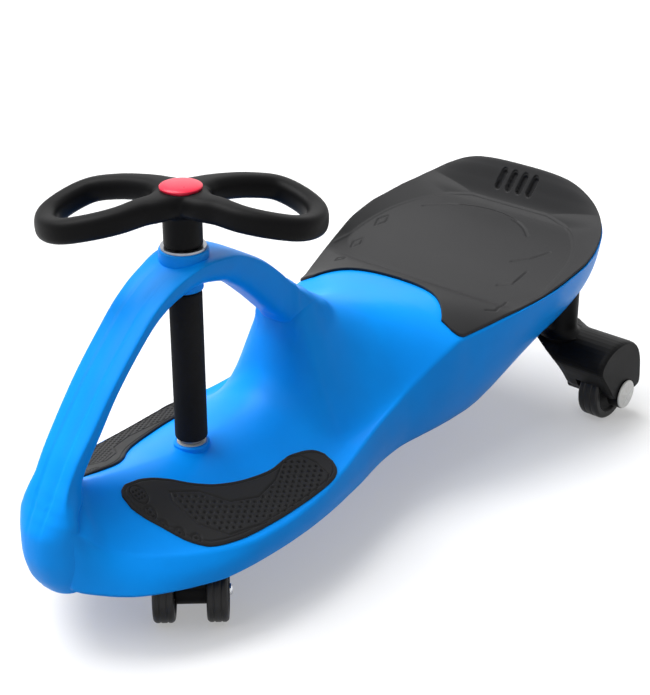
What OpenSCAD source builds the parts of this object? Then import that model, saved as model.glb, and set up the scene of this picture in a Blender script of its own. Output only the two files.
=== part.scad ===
// Wiggle car: a ride-on toy that is driven by swinging its handlebar from side to side.
// The front is toward -Y, up is +Z, and the rider's left side is toward +X.

/* [Body] */
// Length of the moulded body from prow to tail
body_length = 770; // [740:5:800]
// Width of the moulded body across the seat rim
body_width = 296; // [288:1:304]
// Height of the steering head above the ground
head_height = 332; // [326:1:338]
// Height of the lower edge of the body beside the front wheels
ground_clearance = 66; // [65:0.5:69]
// Thickness of the moulded wall
body_wall = 4; // [3.5:0.25:4.5]
// Outer diameter of the collar on the steering head
head_collar_d = 46; // [44:0.5:50]
// Outer diameter of the boss that holds each bush
bush_boss_d = 34; // [33:0.5:37]

/* [Seat] */
// Thickness of the seat liner
seat_thickness = 3; // [2.5:0.25:4]
// Width of the body rim left uncovered beside the seat
seat_margin = 6; // [5:0.5:8]
// Radius of the body's tongue that the seat is cut out around
tongue_radius = 102; // [98:1:106]
// Length of each slot in the seat back
slot_length = 24; // [20:1:28]
// Width of each slot in the seat back
slot_width = 6.5; // [4:0.5:7]
// Distance between the slots in the seat back
slot_pitch = 13; // [11:0.5:15]

/* [Foot pads] */
// Length of each foot pad
pad_length = 210; // [195:1:220]
// Thickness of each foot pad
pad_thickness = 2.6; // [2:0.2:4]

/* [Steering] */
// Angle that the steering is turned to
steer_angle = 42; // [-180:1:180]
// Outer diameter of the steel column
tube_d = 22; // [20:0.5:23]
// Wall thickness of the steel column
tube_wall = 2; // [1.5:0.25:3]
// Outer diameter of the foam sleeve
sleeve_d = 31; // [28:0.5:34]
// Distance from the column to the front axle
trail = 98; // [94:1:106]
// Width of the handlebar from end to end
handlebar_width = 270; // [260:1:280]
// Height of the handlebar's grip
grip_d = 28; // [25:0.5:30]
// Drop of the handlebar from its middle to its ends
handlebar_drop = 24; // [14:1:30]
// Diameter of the stem below the handlebar
stem_d = 36; // [32:0.5:40]
// Diameter of the cap in the middle of the handlebar
cap_d = 39; // [34:0.5:42]

/* [Front wheels] */
// Diameter of each front wheel
front_wheel_d = 60; // [54:0.5:62]
// Width of each front wheel
front_wheel_w = 21; // [18:0.5:24]
// Width of the steering arm between the front wheels
front_arm_w = 28; // [26:0.5:32]

/* [Rear wheels] */
// Diameter of each rear wheel
rear_wheel_d = 70; // [66:0.5:72]
// Width of each rear wheel
rear_wheel_w = 26; // [22:0.5:29]
// Distance between the rear wheels, middle to middle
rear_track = 300; // [298:1:304]
// Diameter of the post on each rear arm
post_d = 35; // [32:0.5:37]
// Diameter of the cap on each rear axle
hub_cap_d = 33; // [28:0.5:36]

/* [Fasteners] */
// Diameter of every wheel axle
axle_d = 8; // [7:0.25:9]
// Diameter of the pin through the steering arm
pin_d = 6; // [5:0.25:7]
// Diameter of each seat screw
seat_screw_d = 4; // [3.5:0.25:5]

/* [Hidden] */
$fn = 48;

// Cuts reach past the faces they open by this much
overrun = 2;
// Radial clearance of parts that turn
run_fit = 0.05;
// Radial clearance of parts that are pressed together
press_fit = 0.02;
// Clearance between a turning part and a fixed face
face_gap = 0.3;
// Clearance below parts that are bonded to the body
bond_gap = 0.5;
// Radial clearance of holes that a part passes freely
slip_fit = 0.5;

// Rows along the body from prow to tail: place, rim half width, rim height, lower half width,
// lower height, middle height, and two powers that shape the top from the rim to the middle
body_shares = [
    [0.000, 0.041, 0.352, 0.048, 1.560, 0.359, 1.6, 1.1],
    [0.006, 0.068, 0.382, 0.070, 1.330, 0.390, 1.6, 1.1],
    [0.015, 0.100, 0.405, 0.100, 1.170, 0.416, 1.6, 1.1],
    [0.030, 0.135, 0.416, 0.187, 1.065, 0.443, 1.6, 1.1],
    [0.045, 0.166, 0.402, 0.279, 1.035, 0.462, 1.6, 1.1],
    [0.060, 0.209, 0.364, 0.366, 1.022, 0.472, 1.5, 1.2],
    [0.075, 0.279, 0.330, 0.446, 1.022, 0.473, 1.5, 1.2],
    [0.090, 0.356, 0.308, 0.519, 1.025, 0.467, 1.5, 1.25],
    [0.115, 0.473, 0.292, 0.617, 1.030, 0.449, 1.5, 1.25],
    [0.150, 0.608, 0.283, 0.706, 1.015, 0.431, 1.5, 1.25],
    [0.190, 0.723, 0.277, 0.777, 1.000, 0.413, 1.5, 1.25],
    [0.235, 0.804, 0.274, 0.804, 1.000, 0.398, 1.5, 1.25],
    [0.280, 0.818, 0.274, 0.811, 1.000, 0.392, 1.5, 1.25],
    [0.320, 0.811, 0.277, 0.804, 1.000, 0.395, 1.5, 1.25],
    [0.360, 0.791, 0.286, 0.784, 1.000, 0.408, 1.6, 1.4],
    [0.395, 0.757, 0.298, 0.757, 1.000, 0.433, 1.8, 1.8],
    [0.420, 0.729, 0.305, 0.732, 1.000, 0.490, 2.1, 2.6],
    [0.437, 0.703, 0.309, 0.716, 1.000, 0.612, 2.4, 3.6],
    [0.451, 0.684, 0.313, 0.701, 1.000, 0.720, 2.5, 4],
    [0.466, 0.666, 0.319, 0.682, 1.000, 0.736, 2.5, 3.6],
    [0.490, 0.642, 0.330, 0.652, 1.000, 0.697, 2.4, 2.7],
    [0.522, 0.621, 0.348, 0.621, 1.000, 0.659, 2.2, 1.9],
    [0.560, 0.614, 0.377, 0.605, 1.000, 0.627, 2.2, 1.35],
    [0.600, 0.666, 0.437, 0.621, 1.000, 0.605, 2.4, 1.1],
    [0.630, 0.726, 0.485, 0.635, 1.000, 0.593, 2.8, 1],
    [0.645, 0.750, 0.504, 0.639, 1.000, 0.588, 3, 1],
    [0.660, 0.764, 0.506, 0.642, 1.000, 0.583, 3.2, 1],
    [0.690, 0.811, 0.518, 0.642, 1.000, 0.571, 3.6, 1],
    [0.720, 0.858, 0.532, 0.635, 1.015, 0.553, 5, 1],
    [0.750, 0.905, 0.548, 0.628, 1.076, 0.527, 9, 1],
    [0.790, 0.959, 0.569, 0.635, 1.242, 0.530, 12, 1],
    [0.830, 0.993, 0.590, 0.648, 1.439, 0.548, 10, 1],
    [0.870, 1.000, 0.608, 0.662, 1.621, 0.566, 8, 1],
    [0.905, 0.973, 0.623, 0.689, 1.773, 0.581, 7, 1],
    [0.935, 0.926, 0.642, 0.697, 1.909, 0.599, 6.5, 1],
    [0.955, 0.878, 0.655, 0.671, 2.076, 0.616, 6, 1],
    [0.968, 0.831, 0.669, 0.619, 2.273, 0.640, 5, 1],
    [0.980, 0.764, 0.687, 0.523, 2.606, 0.690, 5, 1],
    [0.990, 0.655, 0.714, 0.392, 3.030, 0.741, 4, 1],
    [0.997, 0.419, 0.753, 0.218, 3.409, 0.765, 3, 1],
    [1.000, 0.095, 0.762, 0.070, 3.606, 0.764, 3, 1]];

// Place of the seat's edge between the middle and the rim
seat_edge_share = 1 - 2 * seat_margin / body_width;
// Places across the top of the body, from the rim to the middle
across_shares = [1, seat_edge_share, 0.9, 0.82, 0.68, 0.54, 0.4, 0.26, 0.12, 0];
// Places up the side wall, from the lower edge to just below the rim
wall_shares = [0, 0.25, 0.6];
// Places across the roof of the hollow underside, from the side to the middle
roof_shares = [1, 0.75, 0.4, 0];

// Rows along the arch from the prow over the head to the saddle: place along the body,
// height, half width and depth
arch_shares = [
    [0.021, 0.372, 0.070, 0.030],
    [0.046, 0.466, 0.126, 0.046],
    [0.072, 0.553, 0.155, 0.048],
    [0.099, 0.634, 0.162, 0.046],
    [0.132, 0.729, 0.166, 0.044],
    [0.170, 0.822, 0.169, 0.046],
    [0.204, 0.895, 0.173, 0.052],
    [0.238, 0.941, 0.182, 0.060],
    [0.282, 0.970, 0.203, 0.068],
    [0.329, 0.958, 0.196, 0.080],
    [0.377, 0.907, 0.178, 0.090],
    [0.414, 0.839, 0.167, 0.094],
    [0.446, 0.763, 0.160, 0.092],
    [0.474, 0.698, 0.145, 0.060],
    [0.500, 0.655, 0.122, 0.012]];

// Rows along a foot pad: place, inner edge and outer edge
pad_shares = [
    [0.00, 0.179, 0.253],
    [0.02, 0.144, 0.318],
    [0.06, 0.122, 0.418],
    [0.12, 0.122, 0.575],
    [0.18, 0.139, 0.671],
    [0.26, 0.200, 0.723],
    [0.34, 0.296, 0.754],
    [0.43, 0.375, 0.767],
    [0.58, 0.445, 0.774],
    [0.72, 0.475, 0.774],
    [0.82, 0.466, 0.771],
    [0.90, 0.488, 0.763],
    [0.95, 0.514, 0.741],
    [0.98, 0.545, 0.706],
    [1.00, 0.584, 0.654]];
// Place of the pad's front end along the body
pad_start_share = 0.132;

// Corners of one loop of the handlebar: place out from the column and place forward of it, by half the
// handlebar's width, and half the width of the bar there, by half the grip's height
loop_shares = [
    [0.04, -0.03, 2.05], [0.14, -0.23, 1.38], [0.27, -0.335, 1.02], [0.45, -0.37, 0.90], [0.63, -0.34, 0.87],
    [0.79, -0.23, 0.86], [0.885, -0.06, 0.86], [0.87, 0.10, 0.86], [0.76, 0.22, 0.87], [0.58, 0.27, 0.88],
    [0.40, 0.275, 0.91], [0.25, 0.245, 1.05], [0.13, 0.16, 1.38]];

// Corners of the fender of a rear arm: place behind the axle and height above it, by wheel radius
fender_shares = [
    [-0.60, 0.00], [-1.08, 0.60], [-1.48, 1.10], [-1.58, 1.32], [-1.47, 1.57], [-1.14, 1.80], [-0.68, 1.92],
    [-0.16, 1.90], [0.34, 1.74], [0.70, 1.45], [0.90, 1.05], [0.98, 0.60], [1.01, 0.10], [0.86, -0.05],
    [0.40, -0.08], [-0.10, -0.08]];
// Rows across a rear arm from its post to its outer face: place, how far the section is drawn in, and how far
// its lower edge is lifted
arm_shares = [
    [0.000, 0.34, 0.86], [0.015, 0.20, 0.84], [0.05, 0.10, 0.79], [0.12, 0.03, 0.66], [0.20, 0.00, 0.42],
    [0.28, 0.00, 0.18], [0.35, 0.00, 0.03], [0.42, 0.00, 0.00], [0.93, 0.00, 0.00], [0.96, 0.008, 0.00],
    [0.985, 0.03, 0.00], [1.000, 0.065, 0.00]];

// Value of column c of a table of rows at place s, smooth and without overshoot
function row_at(t, s, i = 0) = i >= len(t) - 2 || s < t[i + 1][0] ? i : row_at(t, s, i + 1);
function rise(t, i, c) = (t[i + 1][c] - t[i][c]) / (t[i + 1][0] - t[i][0]);
function mean_rise(a, b) = a * b <= 0 ? 0 : 2 * a * b / (a + b);
function tangent(t, i, c) = i <= 0 ? rise(t, 0, c)
    : i >= len(t) - 1 ? rise(t, len(t) - 2, c)
    : mean_rise(rise(t, i - 1, c), rise(t, i, c));
function ease(t, s, c) = let(
        i = row_at(t, s),
        h = t[i + 1][0] - t[i][0],
        k = (s - t[i][0]) / h)
    t[i][c] * (1 + 2 * k) * pow(1 - k, 2) + tangent(t, i, c) * h * k * pow(1 - k, 2)
    + t[i + 1][c] * k * k * (3 - 2 * k) + tangent(t, i + 1, c) * h * k * k * (k - 1);

// Point of a smooth closed curve through a list of points, k counted in points
function closed_curve(list, k) = let(
        n = len(list),
        i = floor(k),
        t = k - i,
        a = list[(i - 1 + n) % n],
        b = list[i % n],
        c = list[(i + 1) % n],
        d = list[(i + 2) % n])
    ((2 * b) + (c - a) * t + (2 * a - 5 * b + 4 * c - d) * t * t + (3 * b - a - 3 * c + d) * t * t * t) / 2;
function sharp(v, e) = sign(v) * pow(abs(v), e);

function clamp01(v) = max(0, min(1, v));
function share_of(y) = clamp01((y + body_length / 2) / body_length);
function y_of(s) = (s - 0.5) * body_length;
function rim_w(s) = ease(body_shares, s, 1) * body_width / 2;
function rim_z(s) = ease(body_shares, s, 2) * head_height;
function low_w(s) = ease(body_shares, s, 3) * body_width / 2;
function low_z(s) = ease(body_shares, s, 4) * ground_clearance;
function mid_z(s) = ease(body_shares, s, 5) * head_height;
function crown(s, u) = rim_z(s) + (mid_z(s) - rim_z(s))
    * pow(max(0, 1 - pow(u, ease(body_shares, s, 6))), ease(body_shares, s, 7));
// Height of the top of the body above a point of the plan
function top_z(x, y) = let(s = share_of(y)) crown(s, clamp01(abs(x) / rim_w(s)));

// Stations of the body, and the height of its faceted top above a point of the plan
body_stations = [for (r = body_shares) r[0]];
function mix(a, b, k) = a + (b - a) * k;
function across_at(u, j = 0) = j >= len(across_shares) - 2 || u >= across_shares[j + 1] ? j
    : across_at(u, j + 1);
function crown_facet(s, u) = let(j = across_at(u), a = across_shares[j], b = across_shares[j + 1])
    mix(crown(s, a), crown(s, b), (a - u) / (a - b));
function facet_z(x, y) = let(
        s = share_of(y),
        i = row_at(body_shares, s),
        a = body_shares[i][0],
        b = body_shares[i + 1][0],
        k = (s - a) / (b - a),
        u = clamp01(abs(x) / mix(rim_w(a), rim_w(b), k)))
    mix(crown_facet(a, u), crown_facet(b, u), k);

// How far the hollow underside is open at place s
function hollow(s) = 0.06 + 0.94 * min(clamp01((s - 0.02) / 0.05), clamp01((0.972 - s) / 0.03));
function wall_at(s) = min(body_wall, 0.4 * low_w(s));
function bulge(s) = 0.05 * (rim_z(s) - low_z(s)) + body_wall / 2;
function side_x(s, v) = low_w(s) + (rim_w(s) - low_w(s)) * v + bulge(s) * sin(180 * v);
function side_z(s, v) = low_z(s) + (rim_z(s) - low_z(s)) * v;

function half_outer(s) = concat(
    [for (v = wall_shares) [side_x(s, v), y_of(s), side_z(s, v)]],
    [for (u = across_shares) [rim_w(s) * u, y_of(s), crown(s, u)]]);
function roof_w(s) = max(low_w(s) / 2, min(rim_w(s), low_w(s)) - 1.6 * wall_at(s));
function roof_z(s, u) = low_z(s) + hollow(s)
    * max(0, crown(s, clamp01(roof_w(s) * u / rim_w(s))) - 1.3 * body_wall - low_z(s));
function half_inner(s) = concat(
    [[low_w(s) - wall_at(s), y_of(s), low_z(s)]],
    [for (u = roof_shares) [roof_w(s) * u * 0.98, y_of(s), roof_z(s, u)]]);
function flip_x(p) = [-p[0], p[1], p[2]];
function mirrored(l, from) = [for (i = [len(l) - 1 - from : -1 : 0]) flip_x(l[i])];
function reversed(l) = [for (i = [len(l) - 1 : -1 : 0]) l[i]];
function body_loop(s) = let(o = half_outer(s), n = half_inner(s))
    concat(o, mirrored(o, 1), [for (p = n) flip_x(p)], [for (i = [len(n) - 2 : -1 : 0]) n[i]]);

// Triangles that close a hollow section between its outer points and its inner points
outer_count = 2 * (len(wall_shares) + len(across_shares)) - 1;
inner_count = 2 * (1 + len(roof_shares)) - 1;
function inner_index(j) = outer_count + inner_count - 1 - j;
function strip(i = 0, j = 0) = i == outer_count - 1 && j == inner_count - 1 ? []
    : j == inner_count - 1
        || (i < outer_count - 1 && (i + 1) / (outer_count - 1) <= (j + 1) / (inner_count - 1))
        ? concat([[i, i + 1, inner_index(j)]], strip(i + 1, j))
        : concat([[inner_index(j + 1), inner_index(j), i]], strip(i, j + 1));

// Triangles that close a thin section of n points above and n points below
function band(n) = [for (i = [0 : n - 2])
    each [[i, i + 1, 2 * n - 2 - i], [i, 2 * n - 2 - i, 2 * n - 1 - i]]];

// Solid skin through loops of points; the ends are closed by the given faces, or joined when ring is true; the
// triangles from point turn on are split the other way
module skin(loops, ring = false, ends = [], turn = 1000) {
    n = len(loops);
    m = len(loops[0]);
    spans = ring ? n : n - 1;
    caps = ring ? [] : len(ends) > 0 ? ends : [[for (j = [0 : m - 1]) j]];
    polyhedron(
        points = [for (l = loops) each l],
        faces = concat(
            [for (i = [0 : spans - 1], j = [0 : m - 1])
                let(a = i * m, b = ((i + 1) % n) * m, k = (j + 1) % m)
                each j < turn ? [[a + j, a + k, b + k], [a + j, b + k, b + j]]
                    : [[a + j, a + k, b + j], [a + k, b + k, b + j]]],
            [for (f = caps) reversed(f)],
            [for (f = caps) [for (j = f) (n - 1) * m + j]]));
}

// Arch: a strap with a slightly crowned face and a rounded back
arch_steps = 26;
arch_sides = 16;
arch_crown = 3;
arch_edge = 0.45;
arch_table = [for (i = [0 : len(arch_shares) - 1]) concat([i / (len(arch_shares) - 1)], arch_shares[i])];
function arch_y(k) = y_of(ease(arch_table, clamp01(k), 1));
function arch_z(k) = ease(arch_table, clamp01(k), 2) * head_height;
function arch_w(k) = ease(arch_table, k, 3) * body_width / 2;
function arch_d(k) = ease(arch_table, k, 4) * head_height;
function arch_point(k, a) = let(
        e = 0.004,
        dy = arch_y(k + e) - arch_y(k - e),
        dz = arch_z(k + e) - arch_z(k - e),
        l = norm([dy, dz]),
        h = sin(a) >= 0 ? arch_crown * sin(a) : arch_d(k) * sin(a))
    [arch_w(k) * sharp(cos(a), arch_edge), arch_y(k) - dz / l * h, arch_z(k) + dy / l * h];
module arch() {
    skin([for (i = [0 : arch_steps])
        [for (j = [0 : arch_sides - 1]) arch_point(i / arch_steps, j * 360 / arch_sides)]]);
}

// Places of the steering column and the parts on it
axis_share = 0.282;
boss_depth = 46;
head_depth = 40;
head_collar_h = 14;
bush_wall = 3;
bush_flange = 2;
ring_h = 2.5;
ring_step = 2;
bar_rise = 43;
tube_stop = 3;
tube_lift = 14;
washer_h = 2;
nut_h = 6;
stud_d = 10;
stud_over = 1;
axis_y = y_of(axis_share);
deck_z = mid_z(axis_share);
deck_collar_z = deck_z + body_wall;
boss_low_z = deck_z - boss_depth;
head_low_z = head_height - head_depth;
bush_d = tube_d + 2 * bush_wall;
stem_low_z = head_height + ring_h + face_gap;
bar_z = head_height + bar_rise;
tube_top_z = bar_z - tube_stop;
cap_low_z = bar_z + grip_d / 2;
axle_z = front_wheel_d / 2;
arm_top_z = boss_low_z - bush_flange - face_gap;
tube_low_z = axle_z + tube_lift;

// Places of the rear arms
post_inset = 46;
post_lead = 24;
post_x = rear_track / 2 - post_inset;
rear_y = y_of(0.947);
post_y = rear_y - post_lead;
rear_z = rear_wheel_d / 2;
post_top_z = rim_z(share_of(post_y)) * 0.74;
post_bolt_d = 8;
post_bolt_reach = 22;

// Places of the seat screws
screw_x = body_width * 0.21;
screw_rows = [y_of(0.80), y_of(0.88)];
screw_boss_d = 10;
screw_boss_h = body_wall * 2;
screw_head_d = screw_boss_d + body_wall;
screw_head_h = seat_screw_d * 0.7;

module at_screws() {
    for (sx = [-1, 1], y = screw_rows)
        translate([sx * screw_x, y, top_z(screw_x, y)])
            children();
}

module at_posts() {
    for (sx = [-1, 1])
        translate([sx * post_x, post_y, 0])
            children();
}

// Part of the steering, drawn straight ahead about the column and turned to its angle
module steered() {
    translate([0, axis_y, 0])
        rotate([0, 0, steer_angle])
            children();
}

// Cylinder along X between two places
module bar_x(x0, x1, d) {
    translate([x0, 0, 0])
        rotate([0, 90, 0])
            cylinder(d = d, h = x1 - x0);
}

// One moulding: hollow hull with foot deck, saddle and seat floor, and the arch over the deck
module body_shell() {
    color([0.07, 0.53, 0.93])
        difference() {
            union() {
                skin([for (s = body_stations) body_loop(s)], ends = strip());
                arch();
                translate([0, axis_y, boss_low_z])
                    cylinder(d = bush_boss_d, h = deck_collar_z - boss_low_z);
                translate([0, axis_y, head_low_z])
                    cylinder(d = bush_boss_d, h = head_height - head_low_z);
                translate([0, axis_y, head_height - head_collar_h])
                    cylinder(d = head_collar_d, h = head_collar_h);
                at_posts()
                    translate([0, 0, post_top_z])
                        cylinder(d = post_d * 0.8, h = mid_z(share_of(post_y)) - post_top_z - body_wall / 2);
            }
            translate([0, axis_y, boss_low_z - overrun])
                cylinder(d = bush_d, h = head_height - boss_low_z + 2 * overrun);
            at_posts()
                translate([0, 0, post_top_z - post_d * 2])
                    cylinder(d = post_d + 2 * slip_fit, h = post_d * 2);
            at_posts()
                translate([0, 0, post_top_z - overrun])
                    cylinder(d = post_bolt_d + 2 * press_fit, h = post_bolt_reach + 2 * overrun);
            at_screws()
                translate([0, 0, -body_wall * 4])
                    cylinder(d = screw_boss_d + 2 * slip_fit, h = body_wall * 8);
        }
}

// Seat liner that lies in the body, cut out around the tongue and slotted at the back
seat_first_share = 0.64;
seat_last_share = 0.998;
seat_stations = [for (s = body_stations) if (s > seat_first_share && s < seat_last_share) s];
seat_us = [for (u = across_shares) if (u < 1) u];
function seat_row(s, lift) = concat(
    [for (u = seat_us) [rim_w(s) * u, y_of(s), crown(s, u) + lift]],
    [for (i = [len(seat_us) - 2 : -1 : 0]) [-rim_w(s) * seat_us[i], y_of(s), crown(s, seat_us[i]) + lift]]);
function seat_loop(s) = concat(
    seat_row(s, bond_gap + seat_thickness), reversed(seat_row(s, bond_gap)));
slot_z = 0.718 * head_height;
slot_lean = 14;
module seat() {
    color([0.16, 0.16, 0.17])
        difference() {
            union() {
                skin([for (s = seat_stations) seat_loop(s)], ends = band(2 * len(seat_us) - 1),
                    turn = 2 * len(seat_us) - 1);
                for (sx = [-1, 1], y = screw_rows)
                    translate([sx * screw_x, y, top_z(screw_x, y) - screw_boss_h])
                        cylinder(d = screw_boss_d, h = screw_boss_h + bond_gap + seat_thickness / 2);
            }
            translate([0, y_of(0.7065) - tongue_radius, 0])
                cylinder(r = tongue_radius, h = head_height, $fn = 96);
            for (i = [-1.5 : 1 : 1.5])
                translate([i * slot_pitch, y_of(0.955), slot_z])
                    rotate([0, slot_lean, 0])
                        slot();
            at_screws()
                translate([0, 0, -body_wall * 4])
                    cylinder(d = seat_screw_d + 2 * press_fit,
                        h = body_wall * 4 + bond_gap + seat_thickness / 2);
        }
}

// Slot with round ends, through the seat back along Y
module slot() {
    straight = slot_length - slot_width;
    translate([-slot_width / 2, 0, -straight / 2])
        cube([slot_width, body_length * 0.06, straight]);
    for (z = [-straight / 2, straight / 2])
        translate([0, 0, z])
            rotate([-90, 0, 0])
                cylinder(d = slot_width, h = body_length * 0.06, $fn = 24);
}

// Screws that hold the seat from below
module seat_screws() {
    color([0.72, 0.73, 0.75])
        at_screws()
            translate([0, 0, -screw_boss_h]) {
                cylinder(d = seat_screw_d, h = screw_boss_h + bond_gap);
                translate([0, 0, -screw_head_h])
                    cylinder(d = screw_head_d, h = screw_head_h);
            }
}

// Foot pad: a rubber mat that follows the deck
pad_steps = 20;
pad_across = 7;
pad_bevel = 1;
function pad_y(k) = y_of(pad_start_share) + k * pad_length;
function pad_in(k) = ease(pad_shares, k, 1) * body_width / 2;
function pad_out(k) = ease(pad_shares, k, 2) * body_width / 2;
function pad_x(k, j, inset) = pad_in(k) + inset + (pad_out(k) - pad_in(k) - 2 * inset) * (1 - j / pad_across);
function pad_row(k, inset, lift) = [for (j = [0 : pad_across])
    let(x = pad_x(k, j, inset)) [x, pad_y(k), facet_z(x, pad_y(k)) + lift]];
function pad_place(i) = (1 - cos(180 * i / pad_steps)) / 2;
function pad_loop(k) = concat(
    pad_row(k, pad_bevel, bond_gap + pad_thickness), reversed(pad_row(k, 0, bond_gap)));
module foot_pad() {
    color([0.09, 0.09, 0.10])
        skin([for (i = [0 : pad_steps]) pad_loop(pad_place(i))], ends = band(pad_across + 1));
}

module left_foot_pad() {
    foot_pad();
}

module right_foot_pad() {
    mirror([1, 0, 0])
        foot_pad();
}

// Bush in the head that guides the column
module upper_bush() {
    color([0.85, 0.85, 0.83])
        translate([0, axis_y, head_low_z])
            difference() {
                cylinder(d = bush_d - 2 * press_fit, h = head_height - head_low_z);
                translate([0, 0, -overrun])
                    cylinder(d = tube_d + 2 * run_fit, h = head_height - head_low_z + 2 * overrun);
            }
}

// Flanged bush in the deck that carries the body on the steering arm
module lower_bush() {
    color([0.85, 0.85, 0.83])
        translate([0, axis_y, boss_low_z - bush_flange])
            difference() {
                union() {
                    cylinder(d = bush_boss_d, h = bush_flange);
                    cylinder(d = bush_d - 2 * press_fit, h = deck_collar_z - boss_low_z + bush_flange);
                }
                translate([0, 0, -overrun])
                    cylinder(d = tube_d + 2 * run_fit,
                        h = deck_collar_z - boss_low_z + bush_flange + 2 * overrun);
            }
}

// Bright ring on the collar of the head
module head_ring() {
    color([0.80, 0.80, 0.80])
        translate([0, axis_y, head_height])
            difference() {
                cylinder(d = head_collar_d - 2 * ring_step, h = ring_h);
                translate([0, 0, -overrun])
                    cylinder(d = tube_d + ring_step, h = ring_h + 2 * overrun);
            }
}

// Steel tube from the steering arm up to the handlebar
module column_tube() {
    color([0.70, 0.71, 0.73])
        steered()
            difference() {
                translate([0, 0, tube_low_z])
                    cylinder(d = tube_d, h = tube_top_z - tube_low_z);
                translate([0, 0, tube_low_z - overrun])
                    cylinder(d = tube_d - 2 * tube_wall, h = tube_top_z - tube_low_z + 2 * overrun);
                translate([0, 0, arm_pin_z])
                    bar_x(-tube_d, tube_d, pin_d + 2 * press_fit);
            }
}

// Threaded plug in the top of the column
plug_reach = 30;
module column_plug() {
    color([0.62, 0.63, 0.65])
        steered() {
            translate([0, 0, tube_top_z - plug_reach])
                cylinder(d = tube_d - 2 * tube_wall - 2 * press_fit, h = plug_reach);
            translate([0, 0, tube_top_z - overrun])
                cylinder(d = stud_d, h = overrun + washer_h + nut_h + stud_over);
        }
}

// Foam sleeve on the column between deck and head
sleeve_gap = 4;
sleeve_round = 3;
module foam_sleeve() {
    low = deck_collar_z + sleeve_gap;
    high = head_low_z - sleeve_gap / 2;
    color([0.05, 0.05, 0.06])
        steered()
            rotate_extrude()
                polygon([
                    [tube_d / 2 + press_fit, low],
                    [sleeve_d / 2 - sleeve_round, low],
                    [sleeve_d / 2 - sleeve_round * 0.3, low + sleeve_round * 0.3],
                    [sleeve_d / 2, low + sleeve_round],
                    [sleeve_d / 2, high - sleeve_round],
                    [sleeve_d / 2 - sleeve_round * 0.3, high - sleeve_round * 0.3],
                    [sleeve_d / 2 - sleeve_round, high],
                    [tube_d / 2 + press_fit, high]]);
}

// Handlebar: two grip loops that run together in a broad middle, on a stem
loop_steps = 48;
loop_sides = 16;
loop_edge = 0.8;
half_bar = handlebar_width / 2;
loop_count = len(loop_shares);
function loop_curve(k) = closed_curve(loop_shares, (k + loop_count) % loop_count);
function loop_point(k, a) = let(
        p = loop_curve(k),
        d = loop_curve(k + 0.02) - loop_curve(k - 0.02),
        n = [d[1], -d[0]] / norm([d[0], d[1]]),
        r = grip_d / 2,
        w = p[2] * r * sharp(cos(a), loop_edge))
    [p[0] * half_bar - n[0] * w, n[1] * w - p[1] * half_bar,
        bar_z - handlebar_drop * p[0] * p[0] + r * sharp(sin(a), loop_edge)];
module grip_loop() {
    skin([for (i = [0 : loop_steps - 1])
        [for (j = [0 : loop_sides - 1])
            loop_point(i * loop_count / loop_steps, j * 360 / loop_sides)]], ring = true);
}

cap_lip = 3;
module handlebar() {
    color([0.06, 0.06, 0.07])
        steered()
            difference() {
                union() {
                    grip_loop();
                    mirror([1, 0, 0])
                        grip_loop();
                    translate([0, 0, stem_low_z])
                        cylinder(d = stem_d, h = bar_z - stem_low_z);
                }
                translate([0, 0, stem_low_z - overrun])
                    cylinder(d = tube_d + 2 * press_fit, h = tube_top_z - stem_low_z + overrun);
                translate([0, 0, tube_top_z])
                    cylinder(d = cap_d - 2 * cap_lip, h = grip_d + overrun);
            }
}

// Washer and nut that hold the handlebar on the column
module handlebar_washer() {
    color([0.72, 0.73, 0.75])
        steered()
            translate([0, 0, tube_top_z])
                difference() {
                    cylinder(d = cap_d - 4 * cap_lip, h = washer_h);
                    translate([0, 0, -overrun])
                        cylinder(d = stud_d + 2 * press_fit, h = washer_h + 2 * overrun);
                }
}

module handlebar_nut() {
    color([0.72, 0.73, 0.75])
        steered()
            translate([0, 0, tube_top_z + washer_h])
                difference() {
                    cylinder(d = stud_d * 1.85, h = nut_h, $fn = 6);
                    translate([0, 0, -overrun])
                        cylinder(d = stud_d + 2 * press_fit, h = nut_h + 2 * overrun, $fn = 48);
                }
}

// Domed cap with a plug that closes the hub of the handlebar
cap_rise = 4.5;
cap_plug = 3;
cap_plug_r = cap_d / 2 - cap_lip - press_fit;
module handlebar_cap() {
    color([0.86, 0.10, 0.22])
        steered()
            translate([0, 0, cap_low_z])
                rotate_extrude()
                    polygon(concat(
                        [[0, -cap_plug], [cap_plug_r, -cap_plug], [cap_plug_r, 0], [cap_d / 2, 0]],
                        [for (a = [0 : 15 : 90]) [cap_d / 2 * cos(a), cap_rise * (0.3 + 0.7 * sin(a))]]));
}

// Arm below the column that carries the front axle
arm_hub_wall = 9;
arm_lift = 12;
arm_drop = 2;
pin_lift = 4;
pin_over = 1;
barrel_d = 26;
arm_hub_d = tube_d + 2 * arm_hub_wall;
arm_low_z = axle_z + arm_lift;
arm_beam_top_z = front_wheel_d - arm_drop;
arm_pin_z = (arm_low_z + arm_top_z) / 2 + pin_lift;
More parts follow.
